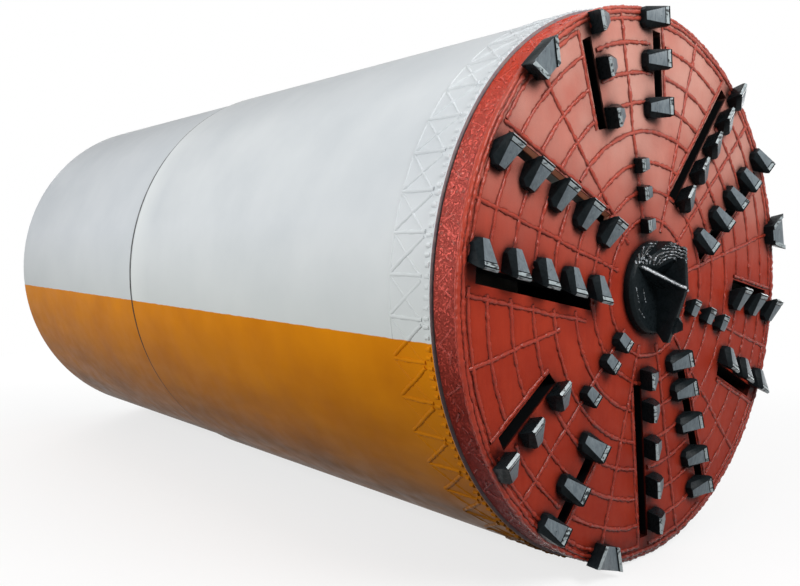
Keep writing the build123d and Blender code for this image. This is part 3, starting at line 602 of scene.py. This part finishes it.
RING_SHARES = (0.25, 0.35, 0.45, 0.56, 0.66, 0.765, 0.87, 0.95, 0.972)   # of the shell's radius
RING_MARGIN = 0.012          # a ring stops that far from a slot
RAYS = 12
RAY_STEP = 0.02
RAY_START, RAY_END = 13, 60  # in ray steps from the axis
OUTER_RAY = 6                # the ray that is laid on its outer part alone
OUTER_RAY_START = 33
BESIDE_SLOT = 0.018          # from a slot's far edge to the bead along it
WIDE_BESIDE_SLOT = 0.048
WIDE_SLOT = (165.0, 1)       # the spoke and side of the slot whose bead lies that far off
SLOT_STEPS = 24              # in the bead along a slot


def ring_lines():
    """Rings on the drum's face, broken where they would cross a slot."""
    lines = []
    for share in RING_SHARES:
        radius = share * shell_radius
        steps = int(radius * 2 * math.pi / LINE_STEP)
        angles = [360.0 * i / steps for i in range(steps)]
        free = [not in_slot(a, radius, RING_MARGIN) for a in angles]
        if all(free):
            lines.append(flat_line([face_point(a, radius) for a in angles + angles[:1]]))
            continue
        first = free.index(False)
        run = []
        for i in range(first, first + steps + 1):
            if free[i % steps]:
                run.append(face_point(angles[i % steps], radius))
                continue
            if len(run) > 2:
                lines.append(flat_line(run))
            run = []
    return lines


def face_lines():
    """The net of hard-facing beads on the drum's face: rings, rays and one line beside each slot."""
    lines = ring_lines()
    for index in range(RAYS):
        start = OUTER_RAY_START if index == OUTER_RAY else RAY_START
        angle = 360.0 / RAYS * (index + 0.5) + CLOCK
        lines.append(flat_line([face_point(angle, RAY_STEP * along) for along in range(start, RAY_END)]))
    for spokes, start in SLOTTED_SPOKES:
        reach = drum_radius - RIM_WALL - start
        for spoke in spokes:
            for side in (-1, 1):
                apart = WIDE_BESIDE_SLOT if (spoke, side) == WIDE_SLOT else BESIDE_SLOT
                beside = []
                for i in range(SLOT_STEPS + 1):
                    along = start + reach * i / SLOT_STEPS
                    across = side * (slot_edges(along)[1] + apart)
                    beside.append(face_point(spoke + CLOCK, along, across))
                lines.append(flat_line(beside))
    return lines


def band_point(angle, y, radius, sink=BEAD_SINK):
    """A guide point on a round flank, with its outward direction."""
    turn = math.radians(angle)
    out = Vector((math.cos(turn), 0, math.sin(turn)))
    return AXIS_POINT + out * (radius - sink) + Vector((0, y, 0)), out


def band_line(start, end, radius, sink=BEAD_SINK):
    """A guide line over a round flank, between two (angle, y) places."""
    length = math.hypot(math.radians(end[0] - start[0]) * radius, end[1] - start[1])
    count = max(2, int(length / LINE_STEP))
    line = []
    for i in range(count + 1):
        angle, y = (first + (last - first) * (i / count) for first, last in zip(start, end))
        line.append(band_point(angle, y, radius, sink))
    return line


LATTICE_NEAR = 0.050         # behind the leading edge
LATTICE_FAR = 0.216
LATTICE_CELLS = 48
LATTICE_TURN = 3.9           # degrees
TEETH = 204
TOOTH_START = 0.008          # behind the leading edge
TOOTH_ENDS = (0.025, 0.034)
TOOTH_SHIFT = 0.12           # of the space between teeth
STROKES = 72


def tooth_lines():
    """Short thick beads side by side along the shield's leading edge."""
    pick = random.Random(3)
    lines = []
    for i in range(TEETH):
        angle = 360.0 * (i + pick.uniform(-TOOTH_SHIFT, TOOTH_SHIFT)) / TEETH
        end = lead_y + pick.uniform(*TOOTH_ENDS)
        lines.append(band_line((angle, lead_y + TOOTH_START), (angle, end), shell_radius))
    return lines


def lattice_cells():
    """The angles at which each of the lattice's cells starts and ends."""
    edges = [LATTICE_TURN + 360.0 * k / LATTICE_CELLS for k in range(LATTICE_CELLS + 1)]
    return zip(edges, edges[1:])


def bar_lines():
    """The lattice's thick beads: a bar along the axis and one long diagonal in each cell."""
    lines = []
    near, far = lead_y + LATTICE_NEAR, lead_y + LATTICE_FAR
    for here, there in lattice_cells():
        lines.append(band_line((here, near - 0.006), (here, far), shell_radius))
        lines.append(band_line((here + 0.9, near), (there - 0.5, far), shell_radius))
    return lines


def fine_lines():
    """The lattice's thin beads: the other diagonals, and a ring behind the upper ones."""
    near, far = lead_y + LATTICE_NEAR, lead_y + LATTICE_FAR
    lines = [band_line((-8, far + 0.004), (188, far + 0.004), shell_radius)]
    for here, there in lattice_cells():
        lines.append(band_line((here + 0.3, far), (there, near + 0.006), shell_radius))
    return lines


def drum_lines():
    """Rough hard-facing on the drum's flank: slanting strokes and short bars, laid by hand."""
    pick = random.Random(7)
    lines = [band_line((0, face_y + 0.014), (360, face_y + 0.014), drum_radius)]
    low, high = face_y + 0.022, drum_back_y - 0.010
    for i in range(STROKES):
        angle = 360.0 * i / STROKES
        lean = pick.uniform(1.5, 4.0) * (1 if i % 2 else -1)
        start = (angle, low + pick.uniform(0, 0.02))
        lines.append(band_line(start, (angle + lean, high - pick.uniform(0, 0.02)), drum_radius))
        for piece in range(2):
            y = pick.uniform(low, high - 0.02)
            first = angle + pick.uniform(0, 4)
            last = first + pick.uniform(-1.5, 2.5)
            lines.append(band_line((first, y), (last, y + pick.uniform(0.005, 0.03)), drum_radius))
    return lines


CORNER_STEPS = 380


def corner_line():
    """One bead round the corner between the drum's face and its flank."""
    line = []
    for i in range(CORNER_STEPS + 1):
        turn = 2 * math.pi * i / CORNER_STEPS
        out = Vector((math.cos(turn), 0, math.sin(turn)))
        slant = (out + FORWARD).normalized()
        line.append((AXIS_POINT + out * (drum_radius - 0.008) + Vector((0, face_y + 0.007, 0)), slant))
    return [line]


def surface_of(*names):
    """The joined surface of some CAD nodes, for laying lines on."""
    shape = bmesh.new()
    for name in names:
        shape.from_mesh(nodes[name].data)
    surface = BVHTree.FromBMesh(shape)
    shape.free()
    return surface


AHEAD = 0.4                  # of the drum's face, where the rays that lay a line start
LARGEST_STEP = 0.03          # past which a laid line is broken
PLACE_STEP = 0.006


def draped(surface, places, sink):
    """Guide lines laid on a surface from the front, through (x, z) places round the axis."""
    lines, line = [], []
    for x, z in places:
        ahead = Vector((x, face_y - AHEAD, axis_z + z))
        point, normal, index, distance = surface.ray_cast(ahead, TAILWARD)
        if point is None or (line and (point - line[-1][0]).length > LARGEST_STEP):
            if len(line) > 2:
                lines.append(line)
            line = []
        if point is not None:
            normal = -normal if normal.y > 0 else normal
            line.append((point - normal * sink, normal))
    return lines + [line] if len(line) > 2 else lines


def arc_places(centre, radius, start, end):
    """Places every few millimetres along an arc, by angles in degrees."""
    steps = max(6, int(math.radians(abs(end - start)) * radius / PLACE_STEP))
    turns = [math.radians(start + (end - start) * i / steps) for i in range(steps + 1)]
    return [(centre[0] + radius * math.cos(t), centre[1] + radius * math.sin(t)) for t in turns]


def straight_places(start, end):
    """Places every few millimetres along a straight line."""
    steps = max(6, int(math.dist(start, end) / PLACE_STEP))
    return [(start[0] + (end[0] - start[0]) * i / steps, start[1] + (end[1] - start[1]) * i / steps)
            for i in range(steps + 1)]


def both_halves(rows):
    """The same places again, half a turn round the axis."""
    return rows + [[(-x, -z) for x, z in row] for row in rows]


bead_tree = weld_bead_tree()
# radius, step, wander, swell and ripple of each kind of bead
for name, lines, metal, *sizes in (
    ("hardfacing_on_face", face_lines(), weld_paint, BEAD_RADIUS, 0.008, 0.02, 0.3, 0.008),
    ("hardfacing_on_drum", drum_lines(), weld_paint, 0.0056, 0.009, 0.015, 0.35, 0.008),
    ("bead_on_drum_corner", corner_line(), weld_paint, 0.010, 0.009, 0.006, 0.3, 0.008),
    ("teeth_on_shield", tooth_lines(), None, 0.0108, 0.006, 0.004, 0.25, 0.005),
    ("hardfacing_bars_on_shield", bar_lines(), None, 0.0095, 0.009, 0.012, 0.25, 0.005),
    ("fine_hardfacing_on_shield", fine_lines(), None, 0.0065, 0.009, 0.010, 0.2, 0.002),
):
    home = ("cutterhead", "red_enamel") if metal else ("front_shield", "shell_enamel")
    grown(name, lines, bead_tree, *home, metal, **dict(zip(BEAD_SIZES, sizes)))

for node in [f"spoke_cutters_{i}" for i in range(1, 7)] + ["pilot_cutters"]:
    softened(node, 0.0018, "cutterhead", "cutter_steel", ground=True)
for node in ("gauge_cutters", "centre_boss", "centre_blade"):
    softened(node, 0.002, "cutterhead", "cutter_steel", ground=node == "gauge_cutters")

# weld on the centre bit, by (x, z) places from the axis
RIDGE = ((-0.146, 0.098), (-0.006, 0.004))
BRACE_ARCS_CENTRE = (-0.042, 0.100)
BRACE_ARC_RADII = (0.124, 0.111, 0.098, 0.085, 0.072, 0.059, 0.046, 0.033)
BOSS_STREAKS = (
    ((-0.176, 0.010), (-0.150, -0.060)),
    ((-0.150, -0.085), (-0.104, -0.127)),
    ((-0.120, 0.0), (-0.100, -0.060)),
)
chipped = chipped_weld()
centre_surface = surface_of("centre_blade", "centre_boss")
for name, rows, sink, metal, *sizes in (
    ("hardfacing_on_ridges", both_halves([straight_places(*RIDGE)]), 0.002, worn_ridge(),
     0.0058, 0.006, 0.004, 0.3, 0.005),
    ("hardfacing_on_braces", [arc_places(BRACE_ARCS_CENTRE, radius, 12, 176) for radius in BRACE_ARC_RADII],
     0.002, chipped, 0.0052, 0.005, 0.022, 0.45, 0.008),
    ("weld_streaks_on_boss", both_halves([straight_places(*ends) for ends in BOSS_STREAKS]), 0.001, chipped,
     0.0026, 0.006, 0.012, 0.4, 0.003),
):
    lines = [line for row in rows for line in draped(centre_surface, row, sink)]
    grown(name, lines, bead_tree, "cutterhead", "cutter_steel", metal, **dict(zip(BEAD_SIZES, sizes)))


# ---------------------------------------------------------------- bolts, louvres and cooling fins
def fitted_tree(name, part_of):
    """A geometry tree that sets a part, made by part_of, at each place, facing outward and lying along."""
    tree = bpy.data.node_groups.new(name, "GeometryNodeTree")
    face = tree.interface
    for label, kind in (("Places", "Geometry"), ("Size", "Float"), ("Height", "Float"), ("Spin", "Float"),
                        ("Along", "Vector"), ("Seed", "Int"), ("Finish", "Material")):
        face.new_socket(label, in_out="INPUT", socket_type=f"NodeSocket{kind}")
    face.new_socket("Fitted", in_out="OUTPUT", socket_type="NodeSocketGeometry")
    given = add(tree, "NodeGroupInput").outputs
    outward = add(tree, "GeometryNodeInputNamedAttribute", {"Name": "outward"}, data_type="FLOAT_VECTOR")
    lie = add(tree, "FunctionNodeAlignRotationToVector", {"Vector": given["Along"]}, axis="X")
    stand = add(tree, "FunctionNodeAlignRotationToVector",
                {"Rotation": lie, "Vector": outward}, axis="Z", pivot_axis="X")
    turn = add(tree, "FunctionNodeRandomValue", {"Max": given["Spin"], "Seed": given["Seed"]},
               data_type="FLOAT")
    turn = add(tree, "ShaderNodeCombineXYZ", {"Z": next(o for o in turn.outputs if o.enabled)})
    turn = add(tree, "FunctionNodeEulerToRotation", {0: turn})
    stand = add(tree, "FunctionNodeRotateRotation", {0: stand, 1: turn}, rotation_space="LOCAL")
    parts = add(tree, "GeometryNodeInstanceOnPoints",
                {"Points": given["Places"], "Instance": part_of(tree, given), "Rotation": stand})
    parts = add(tree, "GeometryNodeRealizeInstances", {"Geometry": parts})
    parts = add(tree, "GeometryNodeSetMaterial", {"Geometry": parts, "Material": given["Finish"]})
    add(tree, "NodeGroupOutput", {"Fitted": parts})
    return tree


def lifted(tree, mesh, share, given):
    """A mesh raised by a share of the height."""
    rise = add(tree, "ShaderNodeCombineXYZ", {"Z": product(tree, given["Height"], share)})
    return add(tree, "GeometryNodeTransform", {"Geometry": mesh, "Translation": rise})


def slab(tree, long, wide, thick):
    """A flat bar of three sizes."""
    size = add(tree, "ShaderNodeCombineXYZ", {"X": long, "Y": wide, "Z": thick})
    return add(tree, "GeometryNodeMeshCube", {"Size": size})


def hex_bolt(tree, given):
    """A washer with a hexagon head on it; the size is the width over the head's corners."""
    joined = add(tree, "GeometryNodeJoinGeometry")
    # sides, then radius, depth and middle as shares of the size and the height
    for sides, radius, depth, rise in ((12, 0.62, 0.25, 0.125), (6, 0.5, 0.75, 0.6)):
        plate = add(tree, "GeometryNodeMeshCylinder",
                    {"Vertices": sides, "Radius": product(tree, given["Size"], radius),
                     "Depth": product(tree, given["Height"], depth)})
        tree.links.new(lifted(tree, plate, rise, given).outputs[0], joined.inputs[0])
    return joined


def louvre(tree, given):
    """A pressed slat: a thin sheet as long as the size, leaning over its own slot."""
    slat = slab(tree, given["Size"], given["Height"], product(tree, given["Height"], 0.12))
    slat = add(tree, "GeometryNodeTransform", {"Geometry": slat, "Rotation": (math.radians(38), 0, 0)})
    return lifted(tree, slat, 0.22, given)


def cooling_fin(tree, given):
    """A cast fin that stands on a motor's barrel and runs along it; the size is its length."""
    fin = slab(tree, given["Size"], product(tree, given["Height"], 0.3), given["Height"])
    return lifted(tree, fin, 0.4, given)


def circle_places(x, z, y, radius, count, first=0.0):
    """Places on a circle about an axis along Y, each facing the tail."""
    turns = [math.radians(first) + 2 * math.pi * i / count for i in range(count)]
    return [[(Vector((x + radius * math.cos(t), y, z + radius * math.sin(t))), TAILWARD)] for t in turns]


def barrel_places(x, z, y, radius, count):
    """Places round a barrel whose axis lies along Y, each facing away from that axis."""
    places = []
    for i in range(count):
        out = Vector((math.cos(2 * math.pi * i / count), 0, math.sin(2 * math.pi * i / count)))
        places.append([(Vector((x, y, z)) + out * radius, out)])
    return places


bolt_tree = fitted_tree("hex_bolts", hex_bolt)
fin_tree = fitted_tree("cooling_fins", cooling_fin)
slat_tree = fitted_tree("louvres", louvre)
cover_low, cover_high = corners("manhole_cover")
housing_low = corners("drive_housing")[0]
gearbox_low, gearbox_high = corners("drive_gearboxes")
motor_low, motor_high = corners("drive_motors")
valve_low, valve_high = corners("slurry_valves")
cabinet_low, cabinet_high = corners("control_cabinet")
tank_low, tank_high = corners("hydraulic_tank")
pump_low, pump_high = corners("pump_unit")

# the drive's and the pipes' sizes, as in the model
HOUSING_FLANGE = 0.040
GEARBOX_FLANGE = 0.030
GEARBOX_FLANGE_RADIUS = 0.140
MOTOR_RADIUS = 0.092
MOTOR_FLANGE = 0.024
PIPE_FLANGE = 0.024
PIPE_OFFSET = 0.3
VALVE_RADIUS = 0.118
VALVE_SPINDLE = 0.018
BONNET_BOLTS = ((-0.050, -0.026), (-0.050, 0.026), (0.050, -0.026), (0.050, 0.026))
motor_circle = (gearbox_high.z - gearbox_low.z) / 2 - GEARBOX_FLANGE_RADIUS
motor_turns = [math.radians(90 + 60 * i) for i in range(6)]
motor_centres = [(motor_circle * math.cos(t), axis_z + motor_circle * math.sin(t)) for t in motor_turns]

# bolts on each flange: its axis, its back, the bolt circle's radius, their number and the first's angle
front_bolts = circle_places(0, (cover_low.z + cover_high.z) / 2, cover_high.y, 0.224, 20)
front_bolts += circle_places(0, axis_z, housing_low.y + HOUSING_FLANGE, 0.576, 40, 4.5)
for x, z in motor_centres:
    front_bolts += circle_places(x, z, gearbox_low.y + GEARBOX_FLANGE, 0.1275, 12, 15)
    front_bolts += circle_places(x, z, motor_low.y + MOTOR_FLANGE, 0.1035, 8, 22.5)
valve_middle = (valve_low.y + valve_high.y) / 2
for x in (-PIPE_OFFSET, PIPE_OFFSET):
    front_bolts += circle_places(x, valve_low.z + VALVE_RADIUS, housing_low.y + PIPE_FLANGE, 0.120, 8)
    for aside, along in BONNET_BOLTS:
        bonnet_bolt = Vector((x + aside, valve_middle + along, valve_high.z - VALVE_SPINDLE))
        front_bolts.append([(bonnet_bolt, UP)])
grown("bolts_on_drive_and_bulkhead", front_bolts, bolt_tree, "front_shield", "pin_steel",
      Size=0.021, Height=0.012, Spin=6.28, Along=ACROSS, Seed=4)

motor_fins = []
for x, z in motor_centres:
    motor_fins += barrel_places(x, z, (motor_low.y + MOTOR_FLANGE + motor_high.y) / 2, MOTOR_RADIUS, 28)
grown("fins_of_drive_motors", motor_fins, fin_tree, "front_shield", "motor_enamel",
      Size=0.27, Height=0.012, Spin=0.0, Along=TAILWARD, Seed=1)


def panel(shape, low, high):
    """Adds a rectangular plate to a shape."""
    made = bmesh.ops.create_cube(shape, size=1.0)
    middle = (Vector(low) + Vector(high)) / 2
    size = Vector(high) - Vector(low)
    place = Matrix.Translation(middle) @ Matrix.Diagonal((*size, 1))
    bmesh.ops.transform(shape, verts=made["verts"], matrix=place)


def round_bar(shape, start, end, radius, far_radius=None, sides=24):
    """Adds a round bar or cone between two points to a shape."""
    start, end = Vector(start), Vector(end)
    turn = (end - start).to_track_quat("Z", "Y").to_matrix().to_4x4()
    bmesh.ops.create_cone(shape, cap_ends=True, segments=sides, radius1=radius, radius2=far_radius or radius,
                          depth=(end - start).length, matrix=Matrix.Translation((start + end) / 2) @ turn)


def fabricated(name, body, slot, edge, build):
    """A piece made of plates and bars, with its edges broken."""
    shape = bmesh.new()
    build(shape)
    mesh = bpy.data.meshes.new(name)
    shape.to_mesh(mesh)
    shape.free()
    mesh.materials.append(finishes[slot])
    made = as_piece(bpy.data.objects.new(name, mesh), body)
    break_edges(made, edge, 40)
    return made


def cabinet_doors(shape):
    """Two door leaves towards the gangway and one at the tail end, each with a pressed panel and hinges."""
    middle = (cabinet_low.y + cabinet_high.y) / 2
    x, foot, top = cabinet_low.x, cabinet_low.z + 0.10, cabinet_high.z - 0.02
    for near, far, hinge in ((cabinet_low.y + 0.012, middle - 0.003, cabinet_low.y + 0.010),
                             (middle + 0.003, cabinet_high.y - 0.012, cabinet_high.y - 0.010)):
        panel(shape, (x - 0.012, near, foot), (x + 0.004, far, top))
        panel(shape, (x - 0.016, near + 0.035, foot + 0.05), (x, far - 0.035, top - 0.05))
        for height in (0.18, 0.46, 0.76):
            knuckle = Vector((x - 0.006, hinge, cabinet_low.z + height))
            round_bar(shape, knuckle - 0.03 * UP, knuckle + 0.03 * UP, 0.008, sides=12)
    y = cabinet_high.y
    panel(shape, (x + 0.015, y - 0.004, foot), (cabinet_high.x - 0.015, y + 0.012, top))
    panel(shape, (x + 0.06, y, foot + 0.38), (cabinet_high.x - 0.06, y + 0.016, top - 0.06))


def cabinet_handles(shape):
    """Swing handles: a long plate with a lever on it and a round lock."""
    middle = (cabinet_low.y + cabinet_high.y) / 2
    x, z = cabinet_low.x, cabinet_low.z
    for y in (middle - 0.020, middle + 0.020):
        panel(shape, (x - 0.017, y - 0.011, z + 0.42), (x - 0.010, y + 0.011, z + 0.56))
        panel(shape, (x - 0.028, y - 0.008, z + 0.44), (x - 0.018, y + 0.008, z + 0.55))
        round_bar(shape, (x - 0.010, y, z + 0.435), (x - 0.022, y, z + 0.435), 0.007, sides=16)
    x, y = cabinet_high.x - 0.035, cabinet_high.y
    panel(shape, (x - 0.011, y + 0.010, z + 0.40), (x + 0.011, y + 0.018, z + 0.54))
    panel(shape, (x - 0.008, y + 0.018, z + 0.42), (x + 0.008, y + 0.028, z + 0.53))


def tank_cover(shape):
    """A bolted cleaning cover on the tank's tail end, and the rim of its lid."""
    left, right, y, lid = tank_low.x, tank_high.x, tank_high.y, tank_high.z
    panel(shape, (left + 0.05, y - 0.002, tank_low.z + 0.09), (right - 0.05, y + 0.010, tank_low.z + 0.34))
    panel(shape, (left - 0.008, tank_low.y - 0.008, lid - 0.030), (right + 0.008, y + 0.008, lid - 0.014))
    # the filler's neck with its vented cap, and the return filter's pot at the other end
    x = (left + right) / 2
    for y, bottom, top, radius, far_radius in (
        (pump_high.y + 0.095, -0.002, 0.025, 0.038, 0.038),
        (pump_high.y + 0.095, 0.025, 0.075, 0.050, 0.046),
        (pump_low.y - 0.09, -0.002, 0.018, 0.075, 0.075),
        (pump_low.y - 0.09, 0.018, 0.105, 0.058, 0.055),
    ):
        round_bar(shape, (x, y, lid + bottom), (x, y, lid + top), radius, far_radius)


def level_gauge(shape):
    """An oil level gauge on the gangway side: two bosses with a sight tube between them."""
    x, y = tank_high.x, tank_high.y - 0.14
    low, high = tank_low.z + 0.16, tank_low.z + 0.34
    for z in (low, high):
        panel(shape, (x - 0.002, y - 0.014, z - 0.018), (x + 0.022, y + 0.014, z + 0.018))
    round_bar(shape, (x + 0.012, y, low), (x + 0.012, y, high), 0.008, sides=16)


pump_x, pump_z = (pump_low.x + pump_high.x) / 2, pump_high.z - 0.110
PUMP_FLANGE = 0.394          # coupling flange's back, from the motor's end


def pump_fittings(shape):
    """The motor's terminal box, the coupling's bell flange and the pump's two ports."""
    x, z, side = pump_x, pump_z, pump_high.x
    y = pump_low.y + 0.16
    panel(shape, (side - 0.012, y - 0.06, z - 0.03), (side + 0.050, y + 0.06, z + 0.07))
    panel(shape, (side + 0.044, y - 0.066, z - 0.036), (side + 0.056, y + 0.066, z + 0.076))
    y = pump_low.y + PUMP_FLANGE
    round_bar(shape, (x, y - 0.016, z), (x, y, z), 0.114, sides=48)
    round_bar(shape, (x, y, z), (x, y + 0.046, z), 0.080, 0.066, sides=40)
    y = pump_high.y - 0.05
    round_bar(shape, (x, y, z + 0.05), (x, y, z + 0.10), 0.026)
    round_bar(shape, (x + 0.05, y, z), (x + 0.10, y, z), 0.022)


fabricated("doors_of_cabinet", "rear_shield", "cabinet_enamel", 0.002, cabinet_doors)
fabricated("handles_of_cabinet", "rear_shield", "motor_enamel", 0.0015, cabinet_handles)
fabricated("covers_of_tank", "rear_shield", "cabinet_enamel", 0.002, tank_cover)
fabricated("gauge_of_tank", "rear_shield", "pin_steel", 0.0015, level_gauge)
fabricated("fittings_of_pump", "rear_shield", "motor_enamel", 0.002, pump_fittings)

grown("fins_of_pump_motor", barrel_places(pump_x, pump_z, pump_low.y + 0.19, 0.110, 40), fin_tree,
      "rear_shield", "motor_enamel", Size=0.33, Height=0.012, Spin=0.0, Along=TAILWARD, Seed=1)

LOUVRES = 13
LOUVRE_APART = 0.022
lowest = Vector(((cabinet_low.x + cabinet_high.x) / 2, cabinet_high.y + 0.012, cabinet_low.z + 0.15))
louvres = [[(lowest + LOUVRE_APART * i * UP, TAILWARD)] for i in range(LOUVRES)]
grown("louvres_of_cabinet", louvres, slat_tree, "rear_shield", "cabinet_enamel",
      Size=0.22, Height=0.018, Spin=0.0, Along=ACROSS, Seed=1)

# bolts round the tank's cleaning cover and the pump's coupling flange
cover_back, cover_z = tank_high.y + 0.010, tank_low.z + 0.215
places = [(tank_low.x + 0.066 + 0.0495 * i, cover_z + side) for i in range(5) for side in (-0.110, 0.110)]
places += [(x, cover_z - 0.110 + 0.055 * i) for i in range(1, 4)
           for x in (tank_low.x + 0.066, tank_high.x - 0.066)]
tank_bolts = [[(Vector((x, cover_back, z)), TAILWARD)] for x, z in places]
tank_bolts += circle_places(pump_x, pump_z, pump_low.y + PUMP_FLANGE, 0.098, 8, 22.5)
grown("bolts_on_tank", tank_bolts, bolt_tree, "rear_shield", "pin_steel",
      Size=0.016, Height=0.009, Spin=6.28, Along=ACROSS, Seed=9)

# fillets of weld where the ring frames meet the rear shield's wall
WALL = 0.035
FILLET_GAP = 0.001
ring_low, ring_high = corners("rear_ring_frame")
thrust_low = corners("thrust_ring")[0]
fillet_stations = (ring_low.y - FILLET_GAP, ring_high.y + FILLET_GAP, thrust_low.y - FILLET_GAP)
fillets = [band_line((0, y), (360, y), rear_radius - WALL, 0.003) for y in fillet_stations]
grown("fillet_welds_in_rear_shell", fillets, bead_tree, "rear_shield", "inner_enamel",
      Radius=0.008, Step=0.012, Wander=0.002, Swell=0.15, Ripple=0.004)


# ================================================================ floor, light and camera
def plain_sheet(name, outline, material):
    """One flat sheet of the surroundings."""
    mesh = bpy.data.meshes.new(name)
    mesh.from_pydata(outline, [], [(0, 1, 2, 3)])
    mesh.materials.append(material)
    made = bpy.data.objects.new(name, mesh)
    scene.collection.objects.link(made)
    return made


def seen_rays(tree):
    """1 for what the camera sees, straight, mirrored or through glass; 0 for light on the machine."""
    rays = add(tree, "ShaderNodeLightPath").outputs
    seen = rays["Is Camera Ray"]
    for ray in ("Is Glossy Ray", "Is Transmission Ray"):
        seen = add(tree, "ShaderNodeMath", {0: seen, 1: rays[ray]}, operation="MAXIMUM")
    return seen


FLOOR_REACH = 30.0


def floor_paint():
    """A white floor that keeps the machine's shadow and fades into the white room behind."""
    material, tree, shader = finish("pale_floor", Roughness=0.9)
    seen = seen_rays(tree)
    place = add(tree, "ShaderNodeTexCoord").outputs["Object"]
    reach = add(tree, "ShaderNodeVectorMath", {0: place}, operation="LENGTH").outputs["Value"]
    share = product(tree, ramp(tree, reach, 2.0, 7.0, 0.72, 1.0), seen)
    grain = blend_colours(tree, mottle(tree, 900, 0.0, 1.0), "#7C7C7C", "#787878")
    tree.links.new(blend_colours(tree, seen, grain, "#FFFFFF"), shader.inputs["Base Color"])
    white = add(tree, "ShaderNodeEmission", {"Color": linear("#FFFFFF"), "Strength": 1.0})
    mixed = add(tree, "ShaderNodeMixShader", {0: share, 1: shader, 2: white})
    tree.links.new(mixed.outputs[0], tree.nodes["Material Output"].inputs["Surface"])
    return material


floor_corners = [(x * FLOOR_REACH, y * FLOOR_REACH, -0.001) for x, y in ((-1, -1), (1, -1), (1, 1), (-1, 1))]
plain_sheet("floor", floor_corners, floor_paint())

world = bpy.data.worlds.new("white_room")
scene.world = world
world.use_nodes = True
sky = world.node_tree
sky.nodes.clear()
room = add(sky, "ShaderNodeBackground", {"Color": linear("#F2F4F7"), "Strength": 0.2})
white = add(sky, "ShaderNodeBackground", {"Color": linear("#FFFFFF"), "Strength": 1.0})
mixed = add(sky, "ShaderNodeMixShader", {0: seen_rays(sky), 1: room, 2: white})
add(sky, "ShaderNodeOutputWorld", {"Surface": mixed})


def soft_light(name, place, aim, width, height, power):
    """A large soft lamp, turned towards a point."""
    lamp = bpy.data.lights.new(name, "AREA")
    lamp.shape = "RECTANGLE"
    lamp.size, lamp.size_y, lamp.energy = width, height, power
    made = bpy.data.objects.new(name, lamp)
    made.location = place
    made.rotation_euler = (Vector(aim) - Vector(place)).to_track_quat("-Z", "Y").to_euler()
    scene.collection.objects.link(made)


# place, aim, width, height and watts
soft_light("hall_roof", (-1.0, -0.5, 6.5), (0, 0, axis_z), 7, 9, 30)
soft_light("left_side", (-7.6, -0.5, 3.0), (0, 0.1, axis_z), 7, 4, 398)
soft_light("front_above", (-0.4, -6.2, 4.4), (-0.1, face_y, axis_z + 0.4), 3.0, 2.5, 250)
soft_light("right_side", (7.5, 1.5, 1.8), (0, 0.4, axis_z), 7, 3, 250)
soft_light("tail_end", (1.6, 8.0, 2.0), (0, tail_y, axis_z), 4, 3, 300)

# the camera stands at a person's eye height, ahead of the machine and to its left
camera = bpy.data.cameras.new("camera")
camera.sensor_width = 36
camera.lens = 36.48
eye = bpy.data.objects.new("camera", camera)
left, ahead, above = 2.6243, 1.7225, 0.1435     # of the shell's radius, from the leading edge's middle
eye.location = (-left * shell_radius, lead_y - ahead * shell_radius, axis_z + above * shell_radius)
heading, pitch = 0.7196, -0.0552
eye.rotation_euler = Euler((math.pi / 2 + pitch, 0, -heading))
scene.collection.objects.link(eye)
bpy.context.scene.camera = eye

bpy.context.scene.view_settings.view_transform = "Standard"
